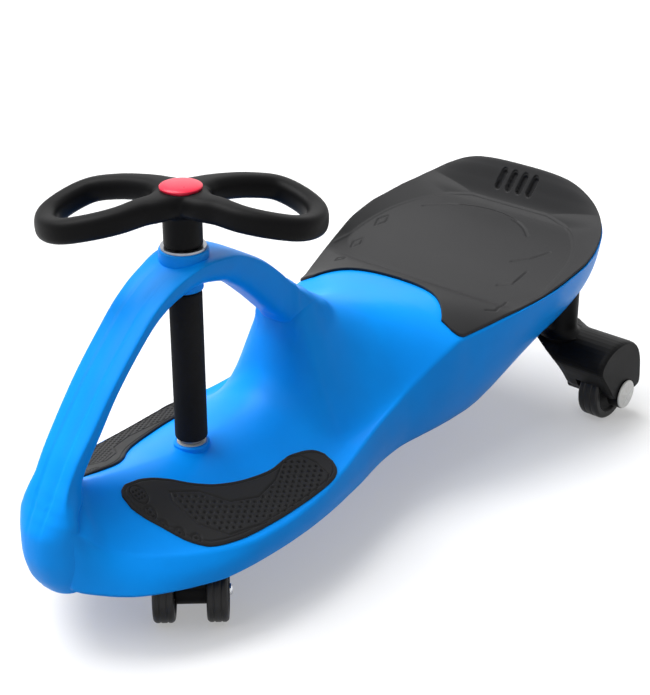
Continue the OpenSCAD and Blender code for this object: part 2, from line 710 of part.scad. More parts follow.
// Side of the arm's beam from the hub to the axle: place forward by trail, and height between axle and hub
beam_shares = [
    [0.00, 0.24], [0.66, 0.24], [0.80, 0.10], [0.88, -0.10], [1.05, -0.10], [1.11, 0.16], [1.10, 0.36],
    [1.04, 0.48], [0.94, 0.53], [0.50, 0.56], [0.22, 0.60], [0.10, 0.80], [0.00, 0.92]];
module steering_arm() {
    color([0.06, 0.06, 0.07])
        steered()
            difference() {
                union() {
                    translate([0, 0, arm_low_z])
                        cylinder(d = arm_hub_d, h = arm_top_z - arm_low_z);
                    translate([-front_arm_w / 2, 0, axle_z])
                        rotate([90, 0, 90])
                            linear_extrude(height = front_arm_w)
                                polygon([for (p = beam_shares) [-p[0] * trail, p[1] * (arm_top_z - axle_z)]]);
                    translate([0, -trail, axle_z])
                        bar_x(-front_arm_w / 2, front_arm_w / 2, barrel_d);
                }
                translate([0, 0, tube_low_z])
                    cylinder(d = tube_d + 2 * press_fit, h = arm_top_z);
                translate([0, 0, arm_pin_z])
                    bar_x(-arm_hub_d, arm_hub_d, pin_d + 2 * press_fit);
                translate([0, -trail, axle_z])
                    bar_x(-front_arm_w, front_arm_w, axle_d + 2 * press_fit);
            }
}

// Pin through the steering arm and the column
module arm_pin() {
    color([0.72, 0.73, 0.75])
        steered()
            translate([0, 0, arm_pin_z])
                bar_x(-arm_hub_d / 2 - pin_over, arm_hub_d / 2 + pin_over, pin_d);
}

// Axle of the two front wheels
front_mid = front_arm_w / 2 + face_gap + front_wheel_w / 2;
front_out = front_mid + front_wheel_w / 2 + face_gap;
axle_nut_h = 6;
cover_h = 2.4;
cover_wall = 1.6;
module front_axle() {
    color([0.72, 0.73, 0.75])
        steered()
            translate([0, -trail, axle_z])
                bar_x(-front_out - cover_h / 2, front_out + cover_h / 2, axle_d);
}

// Push-on caps on the ends of the front axle
module front_axle_nuts() {
    color([0.80, 0.80, 0.82])
        steered()
            translate([0, -trail, axle_z])
                for (side = [0, 180])
                    rotate([0, 0, side])
                        difference() {
                            union() {
                                bar_x(front_out, front_out + cover_h / 2, axle_d + 2 * cover_wall);
                                translate([front_out + cover_h / 2, 0, 0])
                                    rotate([0, 90, 0])
                                        cylinder(d1 = axle_d + 2 * cover_wall, d2 = axle_d, h = cover_h / 2);
                            }
                            bar_x(0, front_out + cover_h / 2 + press_fit, axle_d + 2 * press_fit);
                        }
}

// Wheel hub with a dished face, turning about X
hub_lip = 1;
hub_step = 2;
module wheel_hub(d, w) {
    dish = w * 0.14;
    rotate([0, 90, 0])
        rotate_extrude()
            polygon([
                [axle_d / 2 + run_fit, -w / 2], [axle_d, -w / 2], [axle_d + hub_step, -w / 2 + dish],
                [d * 0.36, -w / 2 + dish], [d * 0.37, -w / 2 + hub_lip], [d * 0.38, -w / 2 + hub_lip],
                [d * 0.38, w / 2 - hub_lip], [d * 0.37, w / 2 - hub_lip], [d * 0.36, w / 2 - dish],
                [axle_d + hub_step, w / 2 - dish], [axle_d, w / 2], [axle_d / 2 + run_fit, w / 2]]);
}

// Tyre with rounded shoulders, turning about X
module tyre(d, w) {
    round = d * 0.05;
    half = w / 2 - hub_lip / 2;
    rotate([0, 90, 0])
        rotate_extrude($fn = 72)
            polygon([
                [d * 0.38 + press_fit, -half], [d / 2 - round, -half],
                [d / 2 - round * 0.3, -half + round * 0.3], [d / 2, -half + round],
                [d / 2, half - round], [d / 2 - round * 0.3, half - round * 0.3],
                [d / 2 - round, half], [d * 0.38 + press_fit, half]]);
}

module at_front_wheel(side) {
    steered()
        translate([side * front_mid, -trail, axle_z])
            children();
}

module front_left_hub() {
    color([0.08, 0.08, 0.09])
        at_front_wheel(1)
            wheel_hub(front_wheel_d, front_wheel_w);
}

module front_left_tyre() {
    color([0.05, 0.05, 0.05])
        at_front_wheel(1)
            tyre(front_wheel_d, front_wheel_w);
}

module front_right_hub() {
    color([0.08, 0.08, 0.09])
        at_front_wheel(-1)
            wheel_hub(front_wheel_d, front_wheel_w);
}

module front_right_tyre() {
    color([0.05, 0.05, 0.05])
        at_front_wheel(-1)
            tyre(front_wheel_d, front_wheel_w);
}

// Rear arm: a post under the body that flares into a fender over the wheel
inner_wall = 27;
outer_wall = 15;
well_gap = 3;
well_clear = 5;
cap_step = 1;
boss_wall = 8;
flare = 9;
fender_in = rear_track / 2 - rear_wheel_w / 2 - inner_wall;
fender_out = rear_track / 2 + rear_wheel_w / 2 + outer_wall;
arm_in = post_x - post_d / 2 - cap_step;
well_in = rear_track / 2 - rear_wheel_w / 2 - well_gap;
well_out = rear_track / 2 + rear_wheel_w / 2 + well_gap;
bolt_head_d = axle_d * 1.8;
bolt_head_h = axle_d * 0.55;
post_low_z = rear_z * 2.2;
post_foot_z = rear_z * 2.6;
flare_z = rear_z * 2.88;
post_head_d = 14;
post_head_h = 6;
fender_steps = 40;
fender_middle_share = [-0.3, 0.95];
fender_top_share = 1.92;
function arm_section(row) = [for (i = [0 : fender_steps - 1]) let(
        p = closed_curve(fender_shares, i * len(fender_shares) / fender_steps),
        q = p + (fender_middle_share - p) * row[1],
        z = fender_top_share - (fender_top_share - q[1]) * (1 - row[2]))
    [arm_in + (fender_out - arm_in) * row[0], rear_y + q[0] * rear_z, rear_z * (1 + z)]];
module post() {
    translate([post_x, post_y, 0])
        rotate_extrude()
            polygon(concat(
                [[0, post_foot_z], [post_d / 2 + flare / 2, post_foot_z]],
                [for (a = [0 : 15 : 90]) [post_d / 2 + flare * (1 - sin(a)), flare_z + flare * (1 - cos(a))]],
                [[post_d / 2, post_top_z], [0, post_top_z]]));
}
module rear_arm() {
    color([0.06, 0.06, 0.07])
        difference() {
            union() {
                skin([for (row = arm_shares) arm_section(row)]);
                translate([0, rear_y, rear_z]) {
                    bar_x(fender_in, well_in + overrun, axle_d + 2 * boss_wall);
                    bar_x(well_out - overrun, fender_out + cap_step, hub_cap_d + cap_step);
                }
                post();
            }
            translate([0, rear_y, rear_z]) {
                bar_x(well_in, well_out, rear_wheel_d + 2 * well_clear);
                bar_x(fender_in - overrun, fender_out + overrun, axle_d + 2 * press_fit);
                bar_x(fender_out - bolt_head_h, fender_out + overrun, bolt_head_d + 2 * slip_fit);
            }
            translate([post_x, post_y, post_low_z - overrun])
                cylinder(d = post_bolt_d + 2 * press_fit, h = post_top_z);
            translate([post_x, post_y, post_low_z - rear_z])
                cylinder(d = post_head_d + 2 * slip_fit, h = rear_z + post_head_h);
        }
}

module left_rear_arm() {
    rear_arm();
}

module right_rear_arm() {
    mirror([1, 0, 0])
        rear_arm();
}

// Bolts up through the posts into the body
module rear_arm_bolts() {
    color([0.72, 0.73, 0.75])
        at_posts()
            translate([0, 0, post_low_z]) {
                cylinder(d = post_head_d, h = post_head_h);
                cylinder(d = post_bolt_d, h = post_top_z - post_low_z + post_bolt_reach);
            }
}

module at_rear_wheel(side) {
    translate([side * rear_track / 2, rear_y, rear_z])
        children();
}

// Bolts that are the axles of the rear wheels
module rear_axles() {
    color([0.72, 0.73, 0.75])
        for (side = [0, 1])
            mirror([side, 0, 0])
                translate([0, rear_y, rear_z]) {
                    bar_x(fender_in - axle_nut_h, fender_out - bolt_head_h / 2, axle_d);
                    bar_x(fender_out - bolt_head_h, fender_out - face_gap, bolt_head_d);
                }
}

// Nuts on the inner ends of the rear axles
module rear_axle_nuts() {
    color([0.72, 0.73, 0.75])
        for (side = [0, 1])
            mirror([side, 0, 0])
                translate([0, rear_y, rear_z])
                    difference() {
                        bar_x(fender_in - axle_nut_h + hub_lip, fender_in, axle_d * 1.7, $fn = 6);
                        bar_x(fender_in - axle_nut_h - overrun, fender_in + overrun, axle_d + 2 * press_fit);
                    }
}

module rear_left_hub() {
    color([0.08, 0.08, 0.09])
        at_rear_wheel(1)
            wheel_hub(rear_wheel_d, rear_wheel_w);
}

module rear_left_tyre() {
    color([0.05, 0.05, 0.05])
        at_rear_wheel(1)
            tyre(rear_wheel_d, rear_wheel_w);
}

module rear_right_hub() {
    color([0.08, 0.08, 0.09])
        at_rear_wheel(-1)
            wheel_hub(rear_wheel_d, rear_wheel_w);
}

module rear_right_tyre() {
    color([0.05, 0.05, 0.05])
        at_rear_wheel(-1)
            tyre(rear_wheel_d, rear_wheel_w);
}

// White caps with a raised star over the ends of the rear axles
cap_plate = 2;
star_rise = 1.5;
star_sink = 0.2;
star_points = 5;
function star_corner(i) = let(a = 90 + i * 180 / star_points, r = hub_cap_d * (i % 2 == 0 ? 0.44 : 0.19))
    [cap_plate - star_sink, r * cos(a), r * sin(a)];
module hub_caps() {
    color([0.94, 0.94, 0.93])
        for (side = [0, 1])
            mirror([side, 0, 0])
                translate([fender_out + cap_step, rear_y, rear_z]) {
                    bar_x(0, cap_plate, hub_cap_d);
                    polyhedron(
                        points = concat([for (i = [0 : 2 * star_points - 1]) star_corner(i)],
                            [[cap_plate + star_rise, 0, 0]]),
                        faces = concat(
                            [for (i = [0 : 2 * star_points - 1])
                                [(i + 1) % (2 * star_points), i, 2 * star_points]],
                            [[for (i = [0 : 2 * star_points - 1]) i]]));
                }
}

body_shell();
seat();
seat_screws();
left_foot_pad();
right_foot_pad();
upper_bush();
lower_bush();
head_ring();
column_tube();
column_plug();
foam_sleeve();
handlebar();
handlebar_washer();
handlebar_nut();
handlebar_cap();
steering_arm();
arm_pin();
front_axle();
front_axle_nuts();
front_left_hub();
front_left_tyre();
front_right_hub();
front_right_tyre();
left_rear_arm();
right_rear_arm();
rear_arm_bolts();
rear_axles();
rear_axle_nuts();
rear_left_hub();
rear_left_tyre();
rear_right_hub();
rear_right_tyre();
hub_caps();
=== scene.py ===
"""Wiggle car: the looks of every piece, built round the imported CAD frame.

Lengths are in mm until a mesh is made."""
import math

import bpy
import numpy as np
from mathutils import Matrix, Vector


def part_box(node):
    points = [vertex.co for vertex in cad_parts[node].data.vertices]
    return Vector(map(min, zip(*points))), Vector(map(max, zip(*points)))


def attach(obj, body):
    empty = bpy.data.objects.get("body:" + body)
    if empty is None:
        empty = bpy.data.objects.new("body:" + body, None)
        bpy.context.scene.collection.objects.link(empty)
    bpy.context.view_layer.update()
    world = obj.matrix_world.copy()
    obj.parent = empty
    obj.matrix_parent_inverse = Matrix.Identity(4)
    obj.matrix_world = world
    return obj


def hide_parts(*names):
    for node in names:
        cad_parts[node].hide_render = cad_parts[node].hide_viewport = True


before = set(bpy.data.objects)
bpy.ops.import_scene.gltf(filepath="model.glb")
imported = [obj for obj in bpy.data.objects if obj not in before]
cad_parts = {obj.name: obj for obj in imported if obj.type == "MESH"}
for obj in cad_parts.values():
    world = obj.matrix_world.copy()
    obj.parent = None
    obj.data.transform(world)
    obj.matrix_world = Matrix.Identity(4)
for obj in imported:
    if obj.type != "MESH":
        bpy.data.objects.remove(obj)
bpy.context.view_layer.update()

MM = 0.001
# Points of a mesh that lie this close become one
WELD = 0.01

# Sizes shared with the part's source
LENGTH, HALF_W, HEAD_Z, CLEARANCE, WALL = 770.0, 148.0, 332.0, 66.0, 4.0


def station(s):
    """Distance in mm from the body's middle of a place s, which runs from 0 at the prow to 1 at the tail."""
    return (s - 0.5) * LENGTH


STEER = math.radians(42)
AXIS_Y = station(0.282)
TUBE_R, BUSH_R, SLEEVE_R = 11.0, 14.0, 15.5
HALF_BAR, DROP, STEM_R, STEM_LOW = 135.0, 24.0, 18.0, 334.8
CAP_R, CAP_RISE = 19.5, 4.5
TRAIL, FRONT_D, FRONT_W, FRONT_ARM_W = 98.0, 60.0, 21.0, 28.0
REAR_D, REAR_W, REAR_TRACK = 70.0, 26.0, 300.0
REAR_Y = station(0.947)
CAP_PLANE = REAR_TRACK / 2 + REAR_W / 2 + 16
AXLE_D, HUB_CAP_D = 8.0, 33.0
FACE_GAP, BOND_GAP = 0.3, 0.5

# Grips, slimmer than in the source: height of their middle and half the height of the bar
BAR_Z, GRIP_R = 377.5, 11.5

# Rows along the body: place, rim half width and height, lower half width and height, middle height, two powers
BODY_SHARES = np.array([
    [0.0450, 0.221, 0.405, 0.200, 1.080, 0.446, 1.8, 1],
    [0.0510, 0.234, 0.390, 0.252, 1.050, 0.462, 1.6, 1.1],
    [0.0600, 0.246, 0.366, 0.320, 1.035, 0.472, 1.5, 1.2],
    [0.0750, 0.290, 0.332, 0.428, 1.022, 0.473, 1.5, 1.2],
    [0.090, 0.356, 0.308, 0.519, 1.025, 0.467, 1.5, 1.25],
    [0.115, 0.473, 0.292, 0.617, 1.030, 0.449, 1.5, 1.25],
    [0.150, 0.608, 0.283, 0.706, 1.015, 0.431, 1.5, 1.25],
    [0.190, 0.723, 0.277, 0.777, 1.000, 0.413, 1.5, 1.25],
    [0.235, 0.804, 0.274, 0.804, 1.000, 0.398, 1.5, 1.25],
    [0.280, 0.818, 0.274, 0.811, 1.000, 0.392, 1.5, 1.25],
    [0.320, 0.811, 0.277, 0.804, 1.000, 0.395, 1.5, 1.25],
    [0.360, 0.791, 0.286, 0.784, 1.000, 0.408, 1.6, 1.4],
    [0.395, 0.757, 0.298, 0.757, 1.000, 0.433, 1.8, 1.8],
    [0.420, 0.729, 0.305, 0.732, 1.000, 0.490, 2.1, 2.6],
    [0.437, 0.703, 0.309, 0.716, 1.000, 0.612, 2.4, 3.6],
    [0.451, 0.684, 0.313, 0.701, 1.000, 0.720, 2.5, 4],
    [0.466, 0.666, 0.319, 0.682, 1.000, 0.736, 2.5, 3.6],
    [0.490, 0.642, 0.330, 0.652, 1.000, 0.697, 2.4, 2.7],
    [0.522, 0.621, 0.348, 0.621, 1.000, 0.659, 2.2, 1.9],
    [0.560, 0.614, 0.377, 0.605, 1.000, 0.627, 2.2, 1.35],
    [0.600, 0.666, 0.437, 0.621, 1.000, 0.605, 2.4, 1.1],
    [0.630, 0.726, 0.485, 0.635, 1.000, 0.593, 2.8, 1],
    [0.645, 0.750, 0.504, 0.639, 1.000, 0.588, 3, 1],
    [0.660, 0.764, 0.506, 0.642, 1.000, 0.583, 3.2, 1],
    [0.690, 0.811, 0.518, 0.642, 1.000, 0.571, 3.6, 1],
    [0.720, 0.858, 0.532, 0.635, 1.015, 0.553, 5, 1],
    [0.750, 0.905, 0.548, 0.628, 1.076, 0.527, 9, 1],
    [0.790, 0.959, 0.569, 0.635, 1.242, 0.530, 12, 1],
    [0.830, 0.993, 0.590, 0.648, 1.439, 0.548, 10, 1],
    [0.870, 1.000, 0.608, 0.662, 1.621, 0.566, 8, 1],
    [0.905, 0.973, 0.623, 0.689, 1.773, 0.581, 7, 1],
    [0.935, 0.926, 0.642, 0.697, 1.909, 0.599, 6.5, 1],
    [0.955, 0.878, 0.655, 0.671, 2.076, 0.616, 6, 1],
    [0.968, 0.831, 0.669, 0.619, 2.273, 0.640, 5, 1],
    [0.980, 0.764, 0.687, 0.523, 2.606, 0.690, 5, 1],
    [0.990, 0.655, 0.714, 0.392, 3.030, 0.741, 4, 1],
    [0.997, 0.419, 0.753, 0.218, 3.409, 0.765, 3, 1],
    [1.000, 0.095, 0.762, 0.070, 3.606, 0.764, 3, 1]])

# Rows up the prow and along the arch: place along the body, height, half width, depth, rise of the outer face
ARCH_SHARES = np.array([
    [0.0530, 0.196, 0.178, 0.034, 0.031], [0.0475, 0.246, 0.208, 0.042, 0.047],
    [0.0455, 0.303, 0.220, 0.048, 0.055], [0.0450, 0.361, 0.220, 0.054, 0.051],
    [0.0455, 0.404, 0.217, 0.054, 0.034], [0.0475, 0.437, 0.196, 0.054, 0.019],
    [0.0525, 0.473, 0.169, 0.057, 0.011], [0.0625, 0.515, 0.151, 0.060, 0.009],
    [0.0735, 0.557, 0.153, 0.062, 0.009], [0.0990, 0.634, 0.162, 0.056, 0.009],
    [0.1320, 0.729, 0.166, 0.048, 0.009], [0.1700, 0.822, 0.169, 0.046, 0.009],
    [0.2040, 0.895, 0.173, 0.052, 0.009], [0.2380, 0.941, 0.182, 0.060, 0.009],
    [0.2820, 0.970, 0.203, 0.068, 0.009], [0.3290, 0.958, 0.196, 0.080, 0.009],
    [0.3770, 0.907, 0.178, 0.090, 0.009], [0.4140, 0.839, 0.167, 0.094, 0.009],
    [0.4460, 0.763, 0.160, 0.092, 0.009], [0.4740, 0.698, 0.145, 0.060, 0.009],
    [0.5000, 0.655, 0.122, 0.012, 0.009]])
ARCH_ROWS = np.column_stack([np.linspace(0, 1, len(ARCH_SHARES)), ARCH_SHARES])
ARCH_EDGE, PROW_EDGE, PROW_FLARE = 0.45, 0.8, 0.5
# Shares of the run where the grooves start, the prow ends, the strap starts, and the grooves fade and end
GROOVE_FROM, PROW_END, STRAP_FROM, GROOVE_FADE, GROOVE_END = 0.11, 0.22, 0.30, 0.68, 0.76

# Rows along a foot pad: place, inner edge, outer edge
PAD_SHARES = np.array([
    [0.00, 0.179, 0.253], [0.02, 0.144, 0.318], [0.06, 0.122, 0.418], [0.12, 0.122, 0.575],
    [0.18, 0.139, 0.671], [0.26, 0.200, 0.723], [0.34, 0.296, 0.754], [0.43, 0.375, 0.767],
    [0.58, 0.445, 0.774], [0.72, 0.475, 0.774], [0.82, 0.466, 0.771], [0.90, 0.488, 0.763],
    [0.95, 0.514, 0.741], [0.98, 0.545, 0.706], [1.00, 0.584, 0.654]])
PAD_START, PAD_LENGTH, PAD_THICKNESS = station(0.132), 210.0, 2.6

# Corners of a grip loop: place out from the column, place forward of it, half width of the bar by GRIP_R
LOOP_SHARES = np.array([
    [0.03, -0.05, 2.00], [0.14, -0.185, 1.35], [0.27, -0.27, 1.05], [0.45, -0.35, 0.93], [0.63, -0.38, 0.90],
    [0.79, -0.26, 0.90], [0.885, -0.08, 0.90], [0.87, 0.12, 0.90], [0.76, 0.27, 0.90], [0.58, 0.32, 0.90],
    [0.40, 0.29, 0.93], [0.25, 0.19, 1.05], [0.13, 0.12, 1.35]])
LOOP_EDGE = 0.68


def ease(rows, places, column):
    """Smooth value of a column at places: cubic pieces whose slope at a row is the harmonic mean of the slopes
    beside it. Places past the ends take the end rows."""
    at, value = rows[:, 0], rows[:, column]
    rise = np.diff(value) / np.diff(at)
    slope = np.concatenate([rise[:1], np.zeros(len(at) - 2), rise[-1:]])
    before, after = rise[:-1], rise[1:]
    same = before * after > 0
    slope[1:-1][same] = (2 * before * after)[same] / (before + after)[same]
    places = np.clip(np.asarray(places, float), at[0], at[-1])
    i = np.clip(np.searchsorted(at, places, side="right") - 1, 0, len(at) - 2)
    h = at[i + 1] - at[i]
    k = (places - at[i]) / h
    return (value[i] * (1 + 2 * k) * (1 - k) ** 2 + slope[i] * h * k * (1 - k) ** 2
            + value[i + 1] * k * k * (3 - 2 * k) + slope[i + 1] * h * k * k * (k - 1))


def body_at(s):
    """Rim half width and height, lower half width and height, middle height and the two powers at places s."""
    scale = (HALF_W, HEAD_Z, HALF_W, CLEARANCE, HEAD_Z, 1, 1)
    return [ease(BODY_SHARES, s, c + 1) * f for c, f in enumerate(scale)]


def share_of(y):
    """Place along the body of a distance y from its middle."""
    return np.clip(np.asarray(y, float) / LENGTH + 0.5, 0, 1)


def top_height(x, y):
    """Height of the body's top: from rim to middle it rises by one minus u to the first power, all to the second
    power, where u is the way out to the rim."""
    w, zr, _, _, zc, p, q = body_at(share_of(y))
    u = np.clip(np.abs(x) / w, 0, 1)
    return zr + (zc - zr) * (1 - u ** p) ** q


def smooth_step(low, high, value):
    """Zero below low, one above high, and a cubic ramp between."""
    t = np.clip((value - low) / (high - low), 0, 1)
    return t * t * (3 - 2 * t)


def sharp(value, power):
    """A signed power, which squares off the sine and cosine of a section."""
    return np.sign(value) * np.abs(value) ** power


def normals_of(grid):
    """Unit normals of a grid: the cross product of its two directions of travel."""
    n = np.cross(np.gradient(grid, axis=0), np.gradient(grid, axis=1))
    return n / np.maximum(np.linalg.norm(n, axis=2, keepdims=True), 1e-9)


def grid_faces(n, m, ring_n=False, ring_m=False):
    """Quads of a grid of n by m points, joined end to end where a direction is a ring."""
    i, j = np.meshgrid(np.arange(n if ring_n else n - 1), np.arange(m if ring_m else m - 1), indexing="ij")
    i2, j2 = (i + 1) % n, (j + 1) % m
    return np.stack([i * m + j, i2 * m + j, i2 * m + j2, i * m + j2], axis=2).reshape(-1, 4)


def weld(points, faces):
    """Points that fall together become one, and corners that then repeat leave their faces."""
    cells = np.round(points / WELD).astype(np.int64)
    _, first, index = np.unique(cells, axis=0, return_index=True, return_inverse=True)
    faces = index.reshape(-1)[faces]
    keep = faces != np.roll(faces, 1, axis=1)
    count = keep.sum(1)
    good = (count >= 3) & (faces[:, 0] != faces[:, 2]) & (faces[:, 1] != faces[:, 3])
    return points[first], faces[good][keep[good]], count[good]


def make_piece(name, parts, body, material, stands_for=()):
    """One welded mesh from several (points, faces) parts, put at the origin and riding on a body."""
    starts = np.cumsum([0] + [p.reshape(-1, 3).shape[0] for p, _ in parts])
    points = np.concatenate([p.reshape(-1, 3) for p, _ in parts])
    faces = np.concatenate([f + a for (_, f), a in zip(parts, starts)])
    points, corners, count = weld(points, faces)
    mesh = bpy.data.meshes.new(name)
    mesh.vertices.add(len(points))
    mesh.vertices.foreach_set("co", (points * MM).astype(np.float32).ravel())
    mesh.loops.add(len(corners))
    mesh.loops.foreach_set("vertex_index", corners.astype(np.int32))
    mesh.polygons.add(len(count))
    mesh.polygons.foreach_set("loop_start", (np.cumsum(count) - count).astype(np.int32))
    mesh.polygons.foreach_set("use_smooth", np.ones(len(count), bool))
    mesh.update(calc_edges=True)
    mesh.validate()
    piece = bpy.data.objects.new(name, mesh)
    bpy.context.scene.collection.objects.link(piece)
    piece.data.materials.append(material)
    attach(piece, body)
    if stands_for:
        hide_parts(*stands_for)
    return piece


def steered(points):
    """Points drawn straight ahead about the column, turned to the steering angle and set on its axis."""
    c, s = math.cos(STEER), math.sin(STEER)
    x, y, z = np.moveaxis(points, -1, 0)
    return np.stack([x * c - y * s, x * s + y * c + AXIS_Y, z], axis=-1)


def revolved(profile, steps=72):
    """Grid and faces of a profile of (radius, height) points carried round the Z axis."""
    a = np.linspace(0, 2 * np.pi, steps, endpoint=False)
    r, z = np.asarray(profile, float).T
    grid = np.stack([r[None] * np.cos(a)[:, None], r[None] * np.sin(a)[:, None],
                     np.broadcast_to(z, (steps, len(z)))], axis=2)
    return grid, grid_faces(steps, len(profile), ring_n=True)


def along_x(grid, x, y, z):
    """A shape about Z laid along X, with its height running toward +X, and moved to a place."""
    return np.stack([grid[..., 2] + x, grid[..., 0] + y, grid[..., 1] + z], axis=-1)


def rounded(corners, radius, steps=5):
    """A profile with each inner corner replaced by a quadratic curve that starts at most radius away."""
    c = np.asarray(corners, float)
    out = [c[:1]]
    t = np.linspace(0, 1, steps)[:, None]
    for a, b, d in zip(c[:-2], c[1:-1], c[2:]):
        p = b + (a - b) * min(radius / np.linalg.norm(a - b), 0.5)
        q = b + (d - b) * min(radius / np.linalg.norm(d - b), 0.5)
        out.append((1 - t) ** 2 * p + 2 * t * (1 - t) * b + t * t * q)
    return np.concatenate(out + [c[-1:]])


def mirrored(half):
    """Closed profile from its upper half: its mirror image, the half run backward, and the first point."""
    below = [(r, -z) for r, z in half]
    return below + half[::-1] + below[:1]


def fanned(loops):
    """Loops with both ends closed by a fan to the middle of the end loop."""
    ends = [np.broadcast_to(loops[i].mean(0), loops[i].shape)[None] for i in (0, -1)]
    return np.concatenate([ends[0], loops, ends[1]])


def closed_curve(corners, k):
    """Smooth closed curve through corners: cubics whose slope at a corner is half its neighbours' span."""
    n = len(corners)
    i = np.floor(k).astype(int)
    t = (k - i)[:, None]
    a, b, c, d = [corners[(i + o) % n] for o in (-1, 0, 1, 2)]
    return (2 * b + (c - a) * t + (2 * a - 5 * b + 4 * c - d) * t ** 2 + (3 * b - a - 3 * c + d) * t ** 3) / 2


# Materials

def linear(code):
    """Linear colour of an sRGB hex value: each channel is undone from the sRGB curve."""
    c = np.array([int(code[i:i + 2], 16) for i in (1, 3, 5)]) / 255
    return (*np.where(c <= 0.04045, c / 12.92, ((c + 0.055) / 1.055) ** 2.4).tolist(), 1.0)


def node(tree, kind, values=None, links=(), **settings):
    """One shader node with its properties, socket values and links of (input, node, output)."""
    made = tree.nodes.new(kind)
    for key, value in settings.items():
        setattr(made, key, value)
    for key, value in (values or {}).items():
        made.inputs[key].default_value = value
    for key, source, output in links:
        tree.links.new(source.outputs[output], made.inputs[key])
    return made


def per_mm(size):
    """Texture scale that makes one cell about size mm wide in Object coordinates, which are in metres."""
    return 1.0 / (size * MM)


def surface(name, colour, dark, rough, rough_span, gleam=0.5, metal=0.0, grain_mm=1.2, grain_depth=0.04,
            patch_mm=60.0, kind="noise", stretch=(1, 1, 1)):
    """A material whose tone and roughness drift over patches, with a bump of its own grain."""
    material = bpy.data.materials.new(name)
    material.use_nodes = True
    tree = material.node_tree
    shader = tree.nodes["Principled BSDF"]
    shader.inputs["IOR"].default_value = 1.5
    shader.inputs["Specular IOR Level"].default_value = gleam
    shader.inputs["Metallic"].default_value = metal
    place = node(tree, "ShaderNodeTexCoord")
    scaled = node(tree, "ShaderNodeMapping", {"Scale": stretch}, [("Vector", place, "Object")])
    at = [("Vector", scaled, "Vector")]
    patch = node(tree, "ShaderNodeTexNoise", {"Scale": per_mm(patch_mm), "Detail": 3.0}, at)
    span = {"From Min": 0.3, "From Max": 0.7}
    spread = node(tree, "ShaderNodeMapRange", span, [("Value", patch, "Fac")])
    tone = node(tree, "ShaderNodeMix", {6: linear(dark), 7: linear(colour)}, [(0, spread, "Result")],
                data_type="RGBA")
    tree.links.new(tone.outputs[2], shader.inputs["Base Color"])
    gloss = node(tree, "ShaderNodeMapRange", span | {"To Min": rough, "To Max": rough + rough_span},
                 [("Value", patch, "Fac")])
    tree.links.new(gloss.outputs["Result"], shader.inputs["Roughness"])
    if kind == "noise":
        grain = node(tree, "ShaderNodeTexNoise", {"Scale": per_mm(grain_mm), "Detail": 2.0}, at)
        height = "Fac"
    else:
        grain = node(tree, "ShaderNodeTexVoronoi", {"Scale": per_mm(grain_mm)}, at)
        height = "Distance"
    bump = node(tree, "ShaderNodeBump", {"Strength": 1.0, "Distance": grain_depth * MM},
                [("Height", grain, height)])
    tree.links.new(bump.outputs["Normal"], shader.inputs["Normal"])
    return material


# Injection-moulded polypropylene from a spark-eroded tool: soft highlights and a fine grain, drawn coarser
blue_pp = surface("moulded_blue_polypropylene", "#0096FC", "#0090F4", 0.40, 0.06, gleam=0.12, grain_mm=1.6,
                  grain_depth=0.03)
# The same plastic in charcoal, from a rougher tool: greyer and duller
charcoal_pp = surface("grained_charcoal_polypropylene", "#272728", "#222223", 0.50, 0.08, gleam=0.16,
                      grain_mm=1.4, grain_depth=0.08)
# Black moulding with a satin skin
black_pp = surface("satin_black_polypropylene", "#0A0A0B", "#080809", 0.44, 0.08, gleam=0.08, grain_mm=1.6,
                   grain_depth=0.04)
# Moulded thermoplastic rubber: dull, with a dusty bloom
pad_rubber = surface("moulded_black_rubber", "#1E1E1F", "#181819", 0.58, 0.12, gleam=0.2, grain_mm=1.2,
                     grain_depth=0.06)
# Closed-cell foam rubber: very dull, with open pores at the skin
foam = surface("closed_cell_foam_rubber", "#0E0E0F", "#0A0A0B", 0.78, 0.12, gleam=0.2, grain_mm=1.5,
               grain_depth=0.18, kind="cells")
# Solid polyurethane tread: black with a slight shine
tread = surface("polyurethane_tread", "#101011", "#0C0C0D", 0.38, 0.1, gleam=0.3, grain_mm=1.4,
                grain_depth=0.05)
# Drawn steel tube, brushed along its length
steel = surface("brushed_zinc_plated_steel", "#9A9DA3", "#888B91", 0.28, 0.12, metal=1.0, grain_mm=2.0,
                grain_depth=0.02, patch_mm=8.0, stretch=(1, 1, 0.08))
# Polished plating
chrome = surface("polished_chrome_plate", "#DADCE0", "#CFD1D6", 0.08, 0.06, metal=1.0, grain_mm=4.0,
                 grain_depth=0.004)
# Acetal bush: waxy and white
acetal = surface("white_acetal", "#E2E1DA", "#D8D7D0", 0.36, 0.08, grain_mm=2.0, grain_depth=0.02)
# Polished ABS, red and white
red_abs = surface("polished_red_abs", "#E82848", "#E02040", 0.26, 0.06, gleam=0.26, grain_mm=2.4,
                  grain_depth=0.01)
white_abs = surface("polished_white_abs", "#F2F2F0", "#ECECE9", 0.2, 0.06, grain_mm=2.4, grain_depth=0.01)

NODE_FINISH = {
    "seat_screws": steel, "upper_bush": acetal, "lower_bush": acetal, "column_tube": steel,
    "column_plug": steel, "handlebar_washer": steel, "handlebar_nut": steel, "steering_arm": black_pp,
    "arm_pin": steel, "front_axle": steel,
    "front_axle_nuts": chrome, "left_rear_arm": black_pp, "right_rear_arm": black_pp, "rear_arm_bolts": steel,
    "rear_axles": steel, "rear_axle_nuts": steel, "head_ring": steel}
CREASE = math.radians(35)
for name, finish in NODE_FINISH.items():
    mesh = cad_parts[name].data
    mesh.materials.clear()
    mesh.materials.append(finish)
    mesh.polygons.foreach_set("use_smooth", np.ones(len(mesh.polygons), bool))
    mesh.set_sharp_from_angle(angle=CREASE)


# Body

# Rounding of the rim, the most of the half width that it may take, and the reach of soft joins
RIM_ROUND, RIM_MOST, BLEND_REACH = 3.0, 0.3, 24.0
